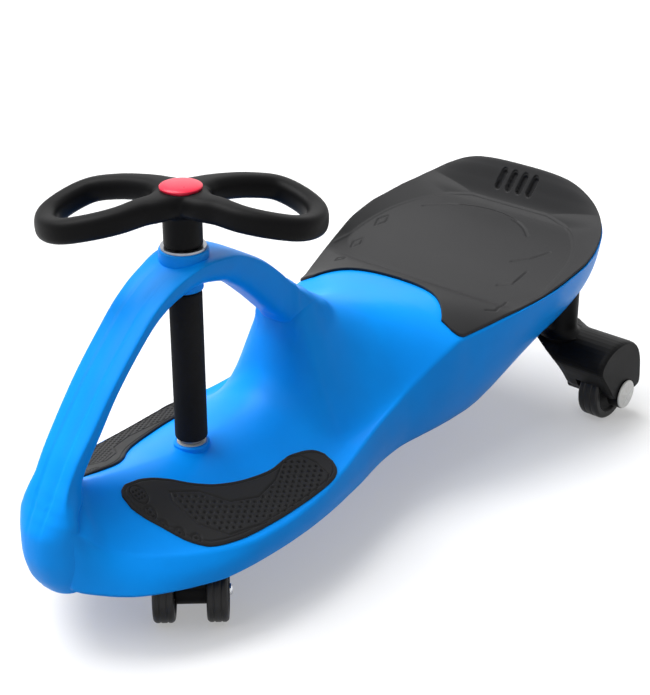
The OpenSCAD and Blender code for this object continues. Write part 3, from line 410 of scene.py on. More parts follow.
# The wall's bulge as a share of its height, and the places where it starts and is full
BULGE, BULGE_FROM, BULGE_FULL = 0.05, 0.045, 0.11
# Hollow underside: places and runs over which it opens and closes, its least height, and walls left round it
HOLLOW_FROM, HOLLOW_OPENS, HOLLOW_TO, HOLLOW_SHUTS, HOLLOW_LEAST = 0.055, 0.04, 0.972, 0.03, 0.06
HOLLOW_WALL_MOST, HOLLOW_INSET, HOLLOW_ROOF, HOLLOW_ROOF_W, HOLLOW_STEPS = 0.4, 1.6, 1.3, 0.98, 24
# Join of deck and arch: share at the prow, distances where it starts, is full and takes in the whole hull
DECK_SHARE, PROW_Y, DECK_Y, HEAD_Y = 0.6, -348.0, -334.0, -200.0
# Upward lean of the surface where that join starts and is full
LEAN_FROM, LEAN_FULL = 0.2, 0.6
WALL_STEPS, CORNER_STEPS, TOP_STEPS, END_STEPS, END_DEPTH = 18, 9, 54, 5, 0.8
# Places where the spacing of sections changes, and the counts between them
FRONT_END, BACK_START, FRONT_ROWS, MIDDLE_ROWS, BACK_ROWS = 0.07, 0.93, 24, 230, 46
ARCH_STEPS, ARCH_SIDES, ARCH_SAMPLES = 220, 104, 260
# Slots in the seat's back and the sunk field of the body behind them
SLOT_Z, SLOT_LENGTH, SLOT_W, SLOT_PITCH, SLOT_LEAN = 0.718 * HEAD_Z, 24.0, 7.6, 14.2, math.radians(14)
SLOT_DEPTH, SLOT_SINK, SLOT_FROM_Y = 5.0, 5.5, 330.0
FIELD_X, FIELD_FLAT_X, FIELD_Z, FIELD_FLAT_Z = 38.0, 30.0, 24.0, 16.0
GROOVE_PLACE, GROOVE_MOST, GROOVE_DEPTH, GROOVE_HALF = 0.42, 9.4, 1.0, 1.2
# Collars as radius and height above the head or the deck
HEAD_COLLAR = [(BUSH_R, -40), (17, -40), (17, -20), (23, -12), (23, 0), (BUSH_R, 0), (BUSH_R, -40)]
DECK_COLLAR = [(BUSH_R, -20), (17.5, -14), (17.5, -1), (BUSH_R, 0), (BUSH_R, -20)]
COLLAR_ROUND, COLLAR_STEPS = 1.6, 80


def arch_path(k):
    """Place along the body, height, half width, depth and rise of the arch at shares k of its run, in mm."""
    return (station(ease(ARCH_ROWS, k, 1)), ease(ARCH_ROWS, k, 2) * HEAD_Z,
            ease(ARCH_ROWS, k, 3) * HALF_W, ease(ARCH_ROWS, k, 4) * HEAD_Z, ease(ARCH_ROWS, k, 5) * HEAD_Z)


ARCH_LINE = np.stack(arch_path(np.linspace(0, 1, ARCH_SAMPLES)), axis=1)
ARCH_DIR = np.gradient(ARCH_LINE[:, :2], axis=0)
ARCH_DIR /= np.linalg.norm(ARCH_DIR, axis=1, keepdims=True)


def arch_distance(points):
    """Distance to the strap: that to a box of its width and depth at the nearest point of its path."""
    flat = points.reshape(-1, 3)
    i = ((flat[:, None, 1:] - ARCH_LINE[None, :, :2]) ** 2).sum(2).argmin(1)
    rel = flat[:, 1:] - ARCH_LINE[i, :2]
    along = (rel * ARCH_DIR[i]).sum(1)
    h = -rel[:, 0] * ARCH_DIR[i, 1] + rel[:, 1] * ARCH_DIR[i, 0]
    over = np.maximum(h - ARCH_LINE[i, 4], -ARCH_LINE[i, 3] - h)
    out = np.stack([np.abs(flat[:, 0]) - ARCH_LINE[i, 2], over, np.abs(along)])
    d = np.linalg.norm(np.maximum(out, 0), axis=0) + np.minimum(out[:2].max(0), 0)
    return d.reshape(points.shape[:-1])


def hull_distance(points):
    """Distance to the body's top: the height above it, divided by the length of its slope's normal."""
    x, y, z = np.moveaxis(points, -1, 0)
    level = top_height(x, y)
    slope_x = top_height(x + 1, y) - level
    slope_y = top_height(x, y + 1) - level
    return (z - level) / np.sqrt(1 + slope_x ** 2 + slope_y ** 2)


def blend(grid, distance, reach, share, rounds=8):
    """Soft join of two surfaces: each point moves out along its normal until the square roots of its distances
    from both surfaces, by the reach, add up to one. A move is at most a quarter of the reach; share scales it."""
    n = normals_of(grid)
    lift = np.zeros(grid.shape[:2])
    for _ in range(rounds):
        other = np.clip(distance(grid + n * lift[..., None]) / reach, 0, 1)
        lift = (lift + np.minimum(reach * (1 - np.sqrt(other)) ** 2, reach / 4)) / 2
    return grid + n * (lift * share)[..., None]


def hull_sections(s):
    """Outer sections of the body from one lower edge over the top to the other, with a rounded rim.

    The wall runs straight from the lower edge to the rim and bulges by a half sine; the top follows top_height;
    a quadratic curve of RIM_ROUND joins the two."""
    w, zr, wb, zb, zc, p, q = [v[:, None] for v in body_at(s)]
    y = station(s)[:, None]
    cut = np.minimum(RIM_ROUND, RIM_MOST * w)
    bulge = (BULGE * (zr - zb) + WALL / 2) * smooth_step(BULGE_FROM, BULGE_FULL, s)[:, None]

    def wall(v):
        return wb + (w - wb) * v + bulge * np.sin(np.pi * v), zb + (zr - zb) * v

    def top(u):
        return w * u, zr + (zc - zr) * (1 - u ** p) ** q

    v_end = 1 - cut / np.maximum(np.hypot(zr - zb, w - wb), 2 * cut)
    u_end = 1 - cut / w
    wall_x, wall_z = wall(np.linspace(0, 1, WALL_STEPS)[None] * v_end)
    ax, az = wall(v_end)
    bx, bz = top(u_end)
    t = np.linspace(0, 1, CORNER_STEPS)[None, 1:-1]
    corner_x = (1 - t) ** 2 * ax + 2 * t * (1 - t) * w + t * t * bx
    corner_z = (1 - t) ** 2 * az + 2 * t * (1 - t) * zr + t * t * bz
    top_x, top_z = top((1 - np.linspace(0, 1, TOP_STEPS)[None]) * u_end)
    x = np.concatenate([wall_x, corner_x, top_x], axis=1)
    z = np.concatenate([wall_z, corner_z, top_z], axis=1)
    x = np.concatenate([x, -x[:, -2::-1]], axis=1)
    z = np.concatenate([z, z[:, -2::-1]], axis=1)
    return np.stack([x, np.broadcast_to(y, x.shape), z], axis=2)


def hollow_sections(s):
    """Inner sections of the body, from the lower edge up the wall and across under the top."""
    w, zr, wb, zb, zc, p, q = [v[:, None] for v in body_at(s)]
    y = station(s)[:, None]
    opened = np.minimum(np.clip((s - HOLLOW_FROM) / HOLLOW_OPENS, 0, 1),
                        np.clip((HOLLOW_TO - s) / HOLLOW_SHUTS, 0, 1))
    open_share = HOLLOW_LEAST + (1 - HOLLOW_LEAST) * opened[:, None]
    wall = np.minimum(WALL, HOLLOW_WALL_MOST * wb)
    roof_w = np.maximum(wb / 2, np.minimum(w, wb) - HOLLOW_INSET * wall)
    u = np.linspace(1, 0, HOLLOW_STEPS)[None]
    roof = zr + (zc - zr) * (1 - np.clip(roof_w * u / w, 0, 1) ** p) ** q - HOLLOW_ROOF * WALL
    z = np.concatenate([zb, zb + open_share * np.maximum(0, roof - zb)], axis=1)
    x = np.concatenate([wb - wall, roof_w * u * HOLLOW_ROOF_W], axis=1)
    x = np.concatenate([x, -x[:, -2::-1]], axis=1)
    z = np.concatenate([z, z[:, -2::-1]], axis=1)
    return np.stack([x, np.broadcast_to(y, x.shape), z], axis=2)


def end_loops(loop, toward):
    """Loops that close an end like a shallow dome: the end loop drawn in toward its middle and moved out."""
    a = np.linspace(0, np.pi / 2, END_STEPS + 1)[1:, None, None]
    middle = loop.mean(0)
    return middle + (loop - middle) * np.cos(a) + np.array([0, toward * END_DEPTH, 0]) * np.sin(a)


def hull_part():
    """Hull with its hollow underside, softly joined to the arch, and a sunk field behind the seat's slots."""
    s = np.unique(np.concatenate([np.linspace(BODY_SHARES[0, 0], FRONT_END, FRONT_ROWS),
                                  np.linspace(FRONT_END, BACK_START, MIDDLE_ROWS),
                                  np.linspace(BACK_START, 1, BACK_ROWS)]))
    outer = hull_sections(s)
    y = outer[..., 1]
    lean = smooth_step(LEAN_FROM, LEAN_FULL, np.abs(normals_of(outer)[..., 2]))
    deck_side = lean * smooth_step(PROW_Y, DECK_Y, y) * DECK_SHARE
    outer = blend(outer, arch_distance, BLEND_REACH, np.where(y > HEAD_Y, 1, deck_side))
    x, y, z = np.moveaxis(outer, -1, 0)
    field = smooth_step(FIELD_X, FIELD_FLAT_X, np.abs(x))
    field *= smooth_step(FIELD_Z, FIELD_FLAT_Z, np.abs(z - SLOT_Z))
    pocket = SLOT_SINK * field * (y > SLOT_FROM_Y)
    edge = WALL_STEPS + CORNER_STEPS
    pocket[:, :edge] = pocket[:, -edge:] = 0
    outer = outer - normals_of(outer) * pocket[..., None]
    inner = hollow_sections(s)[:, ::-1]
    loops = np.concatenate([outer, inner], axis=1)
    loops = np.concatenate([end_loops(loops[0], -1)[::-1], loops, end_loops(loops[-1], 1)])
    return loops, grid_faces(*loops.shape[:2], ring_m=True)[:, ::-1]


def arch_part():
    """Prow and strap as one run of sections across their path, with two grooves on the outer face.

    A section's half width follows a power of the cosine and its height the sine, by the rise outside and the
    depth inside. On the prow it flares backward into the hull."""
    k = np.linspace(0, 1, ARCH_STEPS)
    a = np.linspace(0, 2 * np.pi, ARCH_SIDES, endpoint=False)
    y, z, w, d, rise = [v[:, None] for v in arch_path(k)]
    direction = np.gradient(np.concatenate([y, z], axis=1), axis=0)
    direction /= np.linalg.norm(direction, axis=1, keepdims=True)
    cos, sin = np.cos(a)[None], np.sin(a)[None]
    on_strap = smooth_step(PROW_END, STRAP_FROM, k)[:, None]
    x_share = sharp(cos, PROW_EDGE + (ARCH_EDGE - PROW_EDGE) * on_strap)
    h = np.where(sin >= 0, rise * sin, d * sin)
    flare = PROW_FLARE * smooth_step(STRAP_FROM, PROW_END, k)[:, None] * h
    strap = np.stack([(w - flare) * x_share, y - direction[:, 1:] * h, z + direction[:, :1] * h], axis=2)
    behind = np.where(k[:, None] > 0.5, 1, smooth_step(0.1, -0.5, sin) * on_strap)
    strap = blend(strap, hull_distance, BLEND_REACH, behind)
    off_line = np.abs(x_share) * w - np.minimum(GROOVE_PLACE * w, GROOVE_MOST)
    line = np.exp(-(off_line / GROOVE_HALF) ** 2) * (sin > 0)
    run = smooth_step(GROOVE_FROM, PROW_END, k) * smooth_step(GROOVE_END, GROOVE_FADE, k)
    strap = fanned(strap - normals_of(strap) * (GROOVE_DEPTH * line * run[:, None])[..., None])
    return strap, grid_faces(*strap.shape[:2], ring_m=True)[:, ::-1]


def collar_part(profile, base):
    """A collar round the column, with its profile's heights counted from a base height."""
    grid, faces = revolved(rounded([(r, z + base) for r, z in profile], COLLAR_ROUND), COLLAR_STEPS)
    return grid + np.array([0, AXIS_Y, 0]), faces


deck_z = float(top_height(0.0, AXIS_Y)) + WALL
body_parts = [hull_part(), arch_part(), collar_part(HEAD_COLLAR, HEAD_Z), collar_part(DECK_COLLAR, deck_z)]
make_piece("body_moulding", body_parts, "body", blue_pp, ["body_shell"])


# Seat

SEAT_LIFT, SEAT_THICKNESS, SEAT_EDGE, FOLD_RIDGE = 3.5, 3.0, 1.8, 0.7
# Fold where the seat's floor meets its wall: place along the body, half width, height
SEAT_FOLD = np.array([
    [0.660, 0.700, 0.480], [0.720, 0.850, 0.515], [0.750, 0.878, 0.524], [0.790, 0.885, 0.541],
    [0.830, 0.872, 0.564], [0.870, 0.845, 0.582], [0.905, 0.784, 0.597], [0.935, 0.682, 0.610],
    [0.955, 0.568, 0.622], [0.968, 0.318, 0.637], [0.980, 0.200, 0.645], [1.000, 0.200, 0.650]])
# Places where the fold's ridge starts and meets the middle line, its points and its half width
FOLD_FROM, FOLD_TO, FOLD_POINTS, FOLD_HALF = 0.76, 0.966, 24, 1.8
SEAT_FRONT, SEAT_BACK, TIP_ROUND = station(0.645), 382.4, 9.0
TONGUE_R = 102.0
TONGUE_Y = station(0.7065) - TONGUE_R
# Rows along the tongue, the floor and the back, the distance where the back starts, and columns of each half
TONGUE_ROWS, FLOOR_ROWS, REAR_ROWS, REAR_FROM, SEAT_COLUMNS = 50, 112, 96, 340.0, 122
# Columns kept on the underside: all behind the slots, then one in a few
UNDER_FINE, UNDER_STEP = 42, 8
# Edge of the liner: distances in from it, and heights
LIP_IN, LIP_UP = np.array([0, 0.25, 0.9, 1.8]), np.array([-1.2, -0.35, -0.08, 0])
# Relief deeper than this also shows on the underside
UNDER_RELIEF = 1.5
# Engraved marks on the seat: an arc behind the rider, diamonds on one side and short bent lines on the other
SEAT_ARC = rounded([(-93, 317), (-67, 337), (-32, 346), (6, 346), (37, 334), (53, 318)], 20).tolist()
SEAT_DIAMONDS = [(-115, 269, 6, 13), (-112, 219, 5, 11), (-91, 164, 4, 9)]
SEAT_LINES = [[(67, 266), (83, 281), (94, 301)], [(79, 223), (93, 232), (94, 257)],
              [(107, 161), (115, 169), (107, 200)]]
MARK_DEPTH, MARK_HALF = 1.3, 1.6


def line_distance(x, y, path):
    """Least distance from points of the plan to a path of straight runs."""
    best = np.full(np.shape(x), 1e9)
    for (ax, ay), (bx, by) in zip(path[:-1], path[1:]):
        dx, dy = bx - ax, by - ay
        t = np.clip(((x - ax) * dx + (y - ay) * dy) / max(dx * dx + dy * dy, 1e-9), 0, 1)
        best = np.minimum(best, np.hypot(x - ax - t * dx, y - ay - t * dy))
    return best


def seat_relief(x, y, z):
    """Depth of the seat's slots and engraved marks: a trench with steep sides round each line."""
    depth = np.zeros(np.shape(x))
    for i in (-1.5, -0.5, 0.5, 1.5):
        v = z - SLOT_Z
        across = (x - i * SLOT_PITCH) * math.cos(SLOT_LEAN) - v * math.sin(SLOT_LEAN)
        along = (x - i * SLOT_PITCH) * math.sin(SLOT_LEAN) + v * math.cos(SLOT_LEAN)
        reach = np.hypot(across, np.maximum(np.abs(along) - (SLOT_LENGTH - SLOT_W) / 2, 0))
        trench = SLOT_DEPTH * smooth_step(SLOT_W / 2 + 0.4, SLOT_W / 2 - 0.6, reach)
        depth = np.maximum(depth, trench * (y > SLOT_FROM_Y))
    diamonds = [[(x0 - a, y0), (x0, y0 + b), (x0 + a, y0), (x0, y0 - b), (x0 - a, y0)]
                for x0, y0, a, b in SEAT_DIAMONDS]
    for path in [SEAT_ARC] + SEAT_LINES + diamonds:
        depth = np.maximum(depth, MARK_DEPTH * smooth_step(MARK_HALF, 0.3, line_distance(x, y, path)))
    at = np.linspace(FOLD_FROM, FOLD_TO, FOLD_POINTS)
    fold = np.column_stack([ease(SEAT_FOLD, at, 1) * HALF_W, station(at)]).tolist()
    fold.append([0.0, station(FOLD_TO)])
    return depth - FOLD_RIDGE * smooth_step(FOLD_HALF, 0.2, line_distance(np.abs(x), y, fold))


def seat_height(x, y):
    """Height of the seat: the body's top and thickness, but no lower than a flat floor inside the fold and a
    straight wall from the fold out to the rim."""
    s = share_of(y)
    rim, rim_z = body_at(s)[:2]
    fold, floor_z = ease(SEAT_FOLD, s, 1) * HALF_W, ease(SEAT_FOLD, s, 2) * HEAD_Z
    out = np.clip((np.abs(x) - fold) / np.maximum(rim - fold, 1.0), 0, 1)
    return np.maximum(top_height(x, y), floor_z + np.maximum(rim_z - floor_z, 0) * out) + SEAT_LIFT


def seat_parts():
    """Two mirrored halves of the liner, each from the tongue's edge or the middle line out to the rim.

    Rows follow the tongue's circle, then the body's stations; each point lies on the seat's height, less the
    relief. The edges turn down in a small curve, and a lower sheet closes the liner."""
    turn = np.linspace(math.asin((SEAT_FRONT - TONGUE_Y) / TONGUE_R), math.pi / 2, TONGUE_ROWS)
    y = np.concatenate([TONGUE_Y + TONGUE_R * np.sin(turn),
                        np.linspace(TONGUE_Y + TONGUE_R, REAR_FROM, FLOOR_ROWS)[1:],
                        np.linspace(REAR_FROM, SEAT_BACK, REAR_ROWS)[1:]])
    inner = np.sqrt(np.maximum(0, TONGUE_R ** 2 - (y - TONGUE_Y) ** 2)) * (y < TONGUE_Y + TONGUE_R - 1e-6)
    rim = body_at(share_of(y))[0]
    nip = np.clip(1 - (y - SEAT_FRONT) / TIP_ROUND, 0, 1)
    outer = rim - np.minimum(SEAT_EDGE, 0.4 * rim) - TIP_ROUND * (1 - np.sqrt(1 - nip ** 2))
    t = np.linspace(0, 1, SEAT_COLUMNS)
    cut = (inner > 0)[:, None]
    x_mid = (inner[:, None] + LIP_IN[-1] * cut) * (1 - t) + (outer - LIP_IN[-1])[:, None] * t
    x = np.concatenate([inner[:, None] + LIP_IN[None, :-1] * cut, x_mid,
                        outer[:, None] - LIP_IN[None, -2::-1]], axis=1)
    up = np.concatenate([LIP_UP[None, :-1] * cut, np.zeros(x_mid.shape),
                         np.broadcast_to(LIP_UP[None, -2::-1], (len(y), len(LIP_UP) - 1))], axis=1)
    count = x.shape[1]
    sparse = np.unique(np.concatenate([np.arange(UNDER_FINE), np.arange(UNDER_FINE, count, UNDER_STEP),
                                       [count - 1]]))
    yy = np.broadcast_to(y[:, None], x.shape)
    z = seat_height(x, yy)
    parts = []
    for side in (1, -1):
        grid = np.stack([side * x, yy, z], axis=2)
        n = normals_of(grid)
        n *= np.sign(n[..., 2:] + 1e-9)
        n[~cut[:, 0], :len(LIP_IN)] = n[~cut[:, 0], len(LIP_IN)][:, None]
        relief = seat_relief(side * x, yy, z)[..., None]
        top = grid - n * relief + up[..., None] * np.array([0, 0, 1])
        under = grid - np.array([0, 0, SEAT_THICKNESS]) - n * np.maximum(0, relief - UNDER_RELIEF)
        below = under[:, sparse[::-1]]
        loops = np.concatenate([top, below], axis=1)
        shut = np.concatenate([under, below], axis=1)
        loops = np.concatenate([shut[:1], loops, shut[-1:]])
        m = loops.shape[1]
        faces = grid_faces(*loops.shape[:2], ring_m=True)
        at_middle = (faces[:, 0] % m == m - 1) & (faces[:, 0] // m > len(turn) - 1)
        faces = faces[~at_middle]
        parts.append((loops, faces if side < 0 else faces[:, ::-1]))
    return parts


make_piece("seat_liner", seat_parts(), "body", charcoal_pp, ["seat"])


# Foot pads

# Toes as middle and two half widths, and the outline of the sole
TOES = [(32, -268, 9, 7.5), (49, -271, 5.6, 5), (63, -269, 5, 4.5), (75, -261, 4.6, 4.3), (87, -252, 4.2, 4)]
SOLE = [(42, -240), (54, -215), (77, -198), (87, -170), (82, -141), (69, -113), (76, -98), (90, -90),
        (106, -91), (113, -103), (116, -122), (114, -178), (102, -225), (79, -240), (51, -245), (42, -240)]
# Dimples: spacing, radius at brim and floor, depth, spacing of rows as a share, and margin to the outline
DIMPLE_PITCH, DIMPLE_R, DIMPLE_CORE, DIMPLE_DEPTH, ROW_SHARE, DIMPLE_MARGIN = 6.4, 1.8, 1.1, 2.1, 0.866, 2.5
# Dimples of the toes, and the share of a toe that they fill
TOE_PITCH, TOE_R, TOE_CORE, TOE_FIELD = 3.8, 1.35, 0.8, 0.74
TOE_GROOVE, SOLE_GROOVE, EDGE_GROOVE = 1.5, 1.4, 1.0
TOE_GROOVE_W, SOLE_GROOVE_W, EDGE_GROOVE_W, EDGE_PLACE = 0.8, 0.9, 0.8, 3.6
# Rows, columns, steps between points of the back and of the outline, and the angle left off the columns' ends
PAD_ROWS, PAD_COLUMNS, PAD_BACK_STEP, OUTLINE_STEP, PAD_END_ANGLE = 470, 180, 12, 4, 0.12
# Width of the rounded shoulder, distance over which relief fades at the edge, and least thickness
SHOULDER_W, RELIEF_FADE, PAD_LEAST = 1.8, 3.0, 0.1


def inside_sole(x, y):
    """Whether points of the plan lie in the sole's outline, by counting crossings of a line toward +X."""
    inside = np.zeros(np.shape(x), bool)
    for (ax, ay), (bx, by) in zip(SOLE[:-1], SOLE[1:]):
        if ay != by:
            crosses = (ay > y) != (by > y)
            inside ^= crosses & (x < (bx - ax) * (y - ay) / (by - ay) + ax)
    return inside


def pad_relief(x, y, edge):
    """Depth of dimples in staggered rows on sole and toes, and of the grooves round sole, toes and edge."""
    row_pitch = DIMPLE_PITCH * ROW_SHARE
    row = np.round(y / row_pitch)
    shift = 0.5 * (row % 2)
    cx = (np.round(x / DIMPLE_PITCH - shift) + shift) * DIMPLE_PITCH
    cy = row * row_pitch
    near = DIMPLE_DEPTH * smooth_step(DIMPLE_R, DIMPLE_CORE, np.hypot(x - cx, y - cy))
    depth = near * inside_sole(cx, cy) * (line_distance(cx, cy, SOLE) > DIMPLE_MARGIN)
    depth = np.maximum(depth, SOLE_GROOVE * np.exp(-(line_distance(x, y, SOLE) / SOLE_GROOVE_W) ** 2))
    half = TOE_PITCH / 2
    for tx, ty, rx, ry in TOES:
        r = np.hypot((x - tx) / rx, (y - ty) / ry)
        off = np.hypot((x - tx + half) % TOE_PITCH - half, (y - ty + half) % TOE_PITCH - half)
        depth = np.where(r < TOE_FIELD, DIMPLE_DEPTH * smooth_step(TOE_R, TOE_CORE, off), depth)
        depth = np.maximum(depth, TOE_GROOVE * np.exp(-((r - 1) * rx / TOE_GROOVE_W) ** 2))
    return np.maximum(depth, EDGE_GROOVE * np.exp(-((edge - EDGE_PLACE) / EDGE_GROOVE_W) ** 2))


def pad_part(side):
    """A mat that follows the deck between its edges, raised by its thickness, with rounded shoulders and a
    flat back. Rows and columns crowd toward the edges by a cosine."""
    k = (1 - np.cos(np.linspace(0, np.pi, PAD_ROWS))) / 2
    y = PAD_START + k * PAD_LENGTH
    low, high = ease(PAD_SHARES, k, 1) * HALF_W, ease(PAD_SHARES, k, 2) * HALF_W
    t = (1 - np.cos(np.linspace(PAD_END_ANGLE, np.pi - PAD_END_ANGLE, PAD_COLUMNS))) / 2
    t = (t - t[0]) / (t[-1] - t[0])
    x = low[:, None] * (1 - t) + high[:, None] * t
    yy = np.broadcast_to(y[:, None], x.shape)
    outline = np.concatenate([np.column_stack([low, y]), np.column_stack([high, y])[::-1]])[::OUTLINE_STEP]
    edge = line_distance(x, yy, [tuple(p) for p in np.concatenate([outline, outline[:1]])])
    shoulder = PAD_THICKNESS * (1 - np.sqrt(1 - np.clip(1 - edge / SHOULDER_W, 0, 1) ** 2))
    base = top_height(x, yy) + BOND_GAP
    relief = pad_relief(x, yy, edge) * smooth_step(0, RELIEF_FADE, edge)
    top = base + np.maximum(PAD_THICKNESS - shoulder - relief, PAD_LEAST)
    top[[0, -1]] = base[[0, -1]]
    top[:, [0, -1]] = base[:, [0, -1]]
    upper = np.stack([side * x, yy, top], axis=2)
    lower = np.stack([side * x, yy, base], axis=2)[:, ::-1][:, ::PAD_BACK_STEP]
    loops = fanned(np.concatenate([upper, lower], axis=1))
    faces = grid_faces(*loops.shape[:2], ring_m=True)
    return loops, faces if side < 0 else faces[:, ::-1]


for side, name in ((1, "left_foot_pad"), (-1, "right_foot_pad")):
    make_piece(name + "_mat", [pad_part(side)], "body", pad_rubber, [name])


# Steering

HUB_R, HUB_ROUND = 21.5, 5.0
LOOP_STEPS, LOOP_SIDES, LOOP_SLOPE, TURNED_STEPS = 220, 40, 0.02, 80
SKIN_VOXEL, SKIN_SHARE, SKIN_ROUNDS = 1.2, 0.5, 14
# Cap: lip below the hub's top, slack inside, share of the rise that is upright, and points of the dome
CAP_LIP, CAP_SLACK, CAP_UPRIGHT, CAP_POINTS = 1.0, 0.3, 0.3, 14
SLEEVE_SLACK, SLEEVE_ROUND, SLEEVE_STEPS = 0.02, 3.2, 72


def grip_loop(side):
    """A squared-off round section along the loop's curve, which droops with the square of the way out."""
    k = np.linspace(0, len(LOOP_SHARES), LOOP_STEPS, endpoint=False)
    p = closed_curve(LOOP_SHARES, k)
    d = closed_curve(LOOP_SHARES, k + LOOP_SLOPE) - closed_curve(LOOP_SHARES, k - LOOP_SLOPE)
    n = np.stack([d[:, 1], -d[:, 0]], axis=1) / np.linalg.norm(d[:, :2], axis=1, keepdims=True)
    a = np.linspace(0, 2 * np.pi, LOOP_SIDES, endpoint=False)[None]
    w = p[:, 2:] * GRIP_R * sharp(np.cos(a), LOOP_EDGE)
    x = p[:, :1] * HALF_BAR - n[:, :1] * w
    y = n[:, 1:] * w - p[:, 1:2] * HALF_BAR
    z = BAR_Z - DROP * p[:, :1] ** 2 + GRIP_R * sharp(np.sin(a), LOOP_EDGE)
    faces = grid_faces(LOOP_STEPS, LOOP_SIDES, ring_n=True, ring_m=True)
    return steered(np.stack([side * x, y, z], axis=2)), faces if side > 0 else faces[:, ::-1]


def steered_turning(profile, steps=TURNED_STEPS):
    """A profile carried round the column."""
    grid, faces = revolved(profile, steps)
    return steered(grid), faces


hub_low, hub_high = BAR_Z - GRIP_R, BAR_Z + GRIP_R
stem = steered_turning([(0, STEM_LOW), (STEM_R, STEM_LOW), (STEM_R, BAR_Z), (0, BAR_Z)])
hub = steered_turning(rounded([(0, hub_low), (HUB_R, hub_low), (HUB_R, hub_high), (0, hub_high)], HUB_ROUND))
handlebar = make_piece("handlebar_moulding", [grip_loop(1), grip_loop(-1), stem, hub], "steering", black_pp,
                       ["handlebar"])
# One skin round loops and stem, with the joins smoothed over
skin = handlebar.modifiers.new("one_skin", "REMESH")
skin.mode, skin.voxel_size, skin.use_smooth_shade = "VOXEL", SKIN_VOXEL * MM, True
ease_out = handlebar.modifiers.new("soft_joins", "SMOOTH")
ease_out.factor, ease_out.iterations = SKIN_SHARE, SKIN_ROUNDS

quarter = np.linspace(0, np.pi / 2, CAP_POINTS)
dome_z = hub_high + CAP_RISE * (CAP_UPRIGHT + (1 - CAP_UPRIGHT) * np.sin(quarter))
cap_profile = np.concatenate([[(0, hub_high - CAP_LIP), (CAP_R - CAP_SLACK, hub_high - CAP_LIP)],
                              np.column_stack([CAP_R * np.cos(quarter), dome_z])])
make_piece("handlebar_red_cap", [steered_turning(cap_profile)], "steering", red_abs,
           ["handlebar_cap"])

low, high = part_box("foam_sleeve")
low_z, high_z, tube = low.z / MM, high.z / MM, TUBE_R + SLEEVE_SLACK
sleeve = rounded([(tube, low_z), (SLEEVE_R, low_z), (SLEEVE_R, high_z), (tube, high_z), (tube, low_z)],
                 SLEEVE_ROUND)
foam_piece = make_piece("foam_sleeve_soft", [steered_turning(sleeve, SLEEVE_STEPS)], "steering", foam,
                        ["foam_sleeve"])


# Wheels

# Shares of the diameter: seat of the tyre, outside of the hub, its rim and its web
TYRE_SEAT, HUB_OUTSIDE, HUB_RIM, HUB_WEB = 0.38, 0.379, 0.36, 0.34
# Tyre: slack beside the hub, shoulder in and down, groove depth, and the groove's corners by the half width
TYRE_SLACK, SHOULDER_IN, SHOULDER_DOWN, TREAD_GROOVE = 0.5, 2.2, 2.4, 0.7
TREAD_CORNERS = (0.42, 0.38, 0.30, 0.26)
# Hub: share of the width that is dished, rim set back, boss slope and slack of the bore
HUB_DISH, HUB_SET_BACK, BOSS_SLOPE, BORE_SLACK = 0.14, 0.8, 2.0, 0.05
TYRE_ROUND, WHEEL_HUB_ROUND, WHEEL_STEPS = 1.2, 0.9, 96


def tyre_profile(d, w):
    """Section of a tyre: flat tread with two fine grooves and rounded shoulders."""
    r, h, groove = d / 2, w / 2 - TYRE_SLACK, d / 2 - TREAD_GROOVE
    a, b, c, e = [h * share for share in TREAD_CORNERS]
    return rounded(mirrored([(d * TYRE_SEAT, h), (r - SHOULDER_IN, h), (r, h - SHOULDER_DOWN), (r, a),
                             (groove, b), (groove, c), (r, e)]), TYRE_ROUND)


def hub_profile(d, w):
    """Section of a dished hub: boss, web and rim on both faces."""
    h = w / 2
    web, rim = h - w * HUB_DISH, h - HUB_SET_BACK
    return rounded(mirrored([(AXLE_D / 2 + BORE_SLACK, h), (AXLE_D, h), (AXLE_D + BOSS_SLOPE, web),
                             (d * HUB_WEB, web), (d * HUB_RIM, rim), (d * HUB_OUTSIDE, rim)]), WHEEL_HUB_ROUND)


FRONT_MID = FRONT_ARM_W / 2 + FACE_GAP + FRONT_W / 2
for side, word in ((1, "left"), (-1, "right")):
    for where, d, w, place in (("front", FRONT_D, FRONT_W, (side * FRONT_MID, -TRAIL, FRONT_D / 2)),
                               ("rear", REAR_D, REAR_W, (side * REAR_TRACK / 2, REAR_Y, REAR_D / 2))):
        for kind, profile, finish, slot in (("tyre", tyre_profile(d, w), tread, "tyre"),
                                            ("hub", hub_profile(d, w), black_pp, "black_plastic")):
            grid, faces = revolved(profile, WHEEL_STEPS)
            grid = along_x(grid, *place)
            grid = steered(grid) if where == "front" else grid
            name = f"{where}_{word}_{kind}"
            make_piece(name + "_turned", [(grid, faces)], f"{where}_{word}_wheel", finish, [name])


# Star on the cap: points, steps round, steps out to the brim, and shares and rises of the brim
STAR_POINTS, STAR_STEPS, STAR_RINGS, STAR_REACH = 5, 160, 40, 0.9
BRIM_SHARES, BRIM_RISES = [0.94, 0.98, 1.0, 1.0, 0.0], [1.7, 1.1, 0.0, 0.0]
# Shares of the cap's width at the star's inner corners and added at its points, powers, and heights
STAR_INNER, STAR_OUTER, STAR_BEND, STAR_SLOPE, CAP_BASE, STAR_RISE = 0.19, 0.25, 1.5, 0.8, 2.0, 1.5


